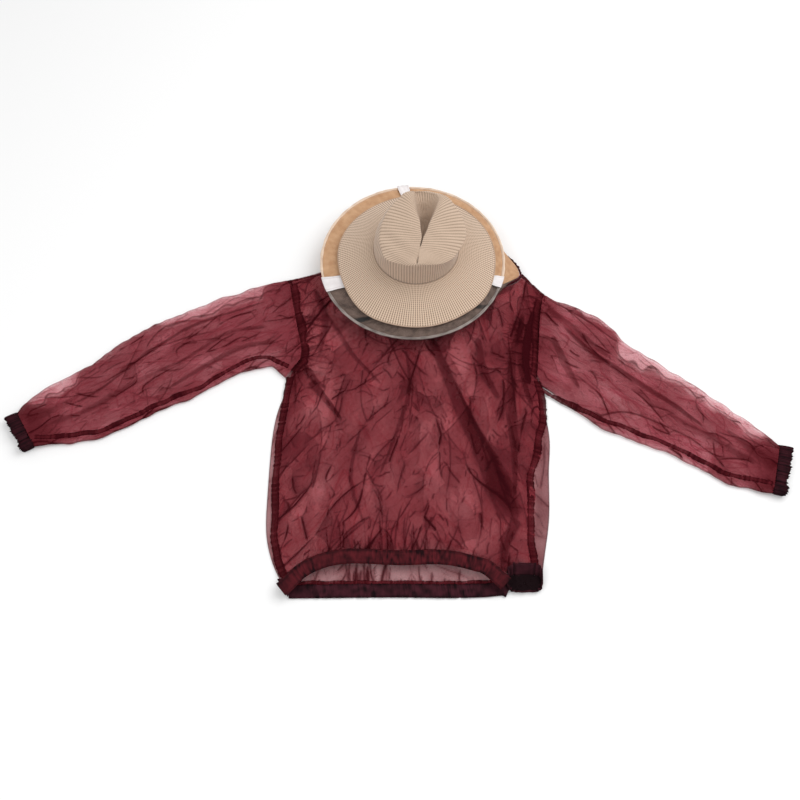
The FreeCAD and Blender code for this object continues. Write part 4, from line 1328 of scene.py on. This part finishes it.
def sewn_strips(side, tree):
    """The side seam, armhole seam and shoulder seam of one side, on the front layer."""
    seam = laid_strip("side_band_" + side, SIDE_SEAM[side], SEAM_STRIP, tree, 301,
                      nodes=["side_seam_" + side])
    inward, wide = ARMHOLE_STRIP[side]
    hole = laid_strip("armhole_band_" + side, armhole(side)[1:-1] + (inward, 0), wide, tree, 303, 2.2 * MM,
                      1.2 * MM, nodes=["armhole_seam_" + side])
    edge = [SHOULDER[side], NECK_POINT[side]][::1 if side == "left" else -1]
    shoulder = laid_strip("shoulder_band_" + side, evenly(edge, 4) - (0, 6 * MM), 9 * MM, tree, 305,
                          nodes=["shoulder_seam_" + side])
    return [seam, hole, shoulder]


def jacket():
    """The body with its seams, hem casings, the hem's slack corner loop and the collar."""
    front, back = front_layer(), back_layer()
    tree = tree_of(front)
    strips = sewn_strips("left", tree) + sewn_strips("right", tree)
    front_hem = casing_strip("hem_front_band", "hem_casing_front", HEM_FRONT_CLOTH, 311, 1.1 * MM,
                             [(-0.250, -0.496)], [(0.240, -0.484)])
    back_hem = casing_strip("hem_back_band", "hem_casing_back", HEM_BACK_CLOTH, 313, 0.9 * MM,
                            tail=[(0.243, -0.489)])
    ruffle = evenly(casing_top("hem_casing_back"), 12)[:-1] + (0, 2 * MM)
    laid_strip("hem_ruffle", ruffle, 9 * MM, tree_of(back), 307, 2.6 * MM)
    corner_flap("hem_corner_flap", [(-0.228, -0.517), (-0.252, -0.478), (-0.196, -0.474)], 6 * MM, 15 * MM,
                HEM_BACK_CLOTH)
    low, high = (corner.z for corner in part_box("hem_corner_loop"))
    loop = band_ring("hem_corner_band", loop_plan, 37 * MM, lambda y: np.full_like(y, low),
                     lambda y: low + (high - low) * (0.3 + 0.7 * ease((y + 0.505) / 0.05)),
                     2.5 * MM, 315, 1.8 * MM, 13)
    inner_fold("hem_corner_inside", (LOOP_X, LOOP_Y), (LOOP_A, LOOP_B), low + 2 * MM, HEM_BACK_CLOTH)
    finish_piece(loop, HEM_BACK_CLOTH, "jacket", "seam_cloth", ["hem_corner_loop"])
    collar = band_ring("collar_binding", lambda angle, grow, t: neckline(angle, grow - 2.5 * MM), NECK_A,
                       collar_foot, lambda y: collar_foot(y) + 11 * MM, 2.4 * MM, 317, 1.0 * MM, 60)
    finish_piece(collar, COLLAR_CLOTH, "jacket", "seam_cloth", ["collar_band"])


# Where the underarm seam starts, at the armhole, and how far it lies in from the lower edge.
UNDERARM_START = {"left": [(-0.250, 0.032), (-0.300, 0.056), (-0.350, 0.046)],
                  "right": [(0.318, -0.008), (0.350, -0.034)]}
UNDERARM_SHIFT = {"left": (0.003, 0.015), "right": (-0.003, 0.020)}


def sleeve_group(side):
    """A sleeve with its underarm seam, cuff and elastic."""
    tube = sleeve(side)
    under = sleeve_edges(side)[2]
    path = np.vstack([UNDERARM_START[side], evenly(under, 14)[4:-1] + UNDERARM_SHIFT[side],
                      under[-1] + (0, 0.02)])
    seam = laid_strip("underarm_band_" + side, path, 10 * MM, tree_of(tube), 321, 0.8 * MM, 1.0 * MM, None,
                      ["underarm_seam_" + side])
    cuff = cuff_ring("cuff_band_" + side, side, 0.2 * MM, -1.0 * MM, 30 * MM, 2.6 * MM, 331, 4.2 * MM)
    finish_piece(cuff, CUFF_CLOTH, side + "_sleeve", "seam_cloth", ["cuff_casing_" + side])
    elastic = cuff_ring("cuff_stretch_" + side, side, 6.0 * MM, 8 * MM, 15 * MM, 1.0 * MM, 333, 0.3 * MM)
    finish_piece(elastic, ELASTIC, side + "_sleeve", "elastic", ["cuff_elastic_" + side])
    bend_with_sleeve(tube)
    bend_with_sleeve(seam)


def put_in_scene(name, data, location=(0, 0, 0), target=None):
    """Add an object that isn't a piece, turned to look at target if there is one."""
    made = bpy.data.objects.new(name, data)
    made.location = location
    if target is not None:
        made.rotation_euler = (Vector(target) - Vector(location)).to_track_quat("-Z", "Y").to_euler()
    bpy.context.scene.collection.objects.link(made)
    return made


def studio():
    """White paper floor, soft light from two lamps and an even sky."""
    mesh = bpy.data.meshes.new("studio_floor")
    corners = [(x * FLOOR_REACH, y * FLOOR_REACH, 0) for x, y in ((-1, -1), (1, -1), (1, 1), (-1, 1))]
    mesh.from_pydata(corners, [], [(0, 1, 2, 3)])
    paper = Shade("paper_floor", 0.95, 0.05)
    paper.inputs["Base Color"].default_value = (0.93, 0.93, 0.93, 1)
    mesh.materials.append(paper.material)
    put_in_scene("studio_floor", mesh)
    world = bpy.data.worlds.new("studio")
    world.use_nodes = True
    sky = world.node_tree.nodes["Background"].inputs
    sky["Color"].default_value = (1, 1, 1, 1)
    sky["Strength"].default_value = 0.72
    bpy.context.scene.world = world
    for name, location, size, power in LAMPS:
        light = bpy.data.lights.new(name, "AREA")
        light.size = size
        light.energy = power
        put_in_scene(name, light, location, (0, 0, 0))
    bpy.context.scene.view_settings.view_transform = "Standard"


def camera():
    """The view of the whole jacket, from above its hem."""
    data = bpy.data.cameras.new("view")
    data.lens, data.sensor_width = CAMERA_LENS, SENSOR
    tilt = math.radians(CAMERA_ELEVATION)
    target = Vector(CAMERA_TARGET)
    away = Vector((0, -math.cos(tilt), math.sin(tilt))) * CAMERA_DISTANCE
    bpy.context.scene.camera = put_in_scene("view", data, target + away, target)


jacket()
for sleeve_side in SIDES:
    sleeve_group(sleeve_side)
tan_mesh, black_net = (True, TAN_MESH, "tan_mesh"), (False, BLACK_NET, "black_net")
tan_top = veil_top("veil_mesh_top", *tan_mesh, "veil_top_tan")
net_top = veil_top("veil_net_top", *black_net, "veil_top_net")
tan_skirt = veil_skirt("veil_mesh_skirt", *tan_mesh, "veil_skirt_tan")
net_skirt = veil_skirt("veil_net_skirt", *black_net, "veil_skirt_net")
hoop_edge("hoop_edge_back", True, EDGE_CLOTH)
hoop_edge("hoop_edge_front", False, NET_EDGE)
for tape_side in TAPES:
    tape(tape_side)
brim()
crown()
for kept, kept_material in (("hem_elastic_front", ELASTIC), ("hem_elastic_back", ELASTIC),
                            ("hoop_wire", WIRE), ("sweatband", BAND_CLOTH)):
    keep_node(kept, kept_material)
studio()
camera()
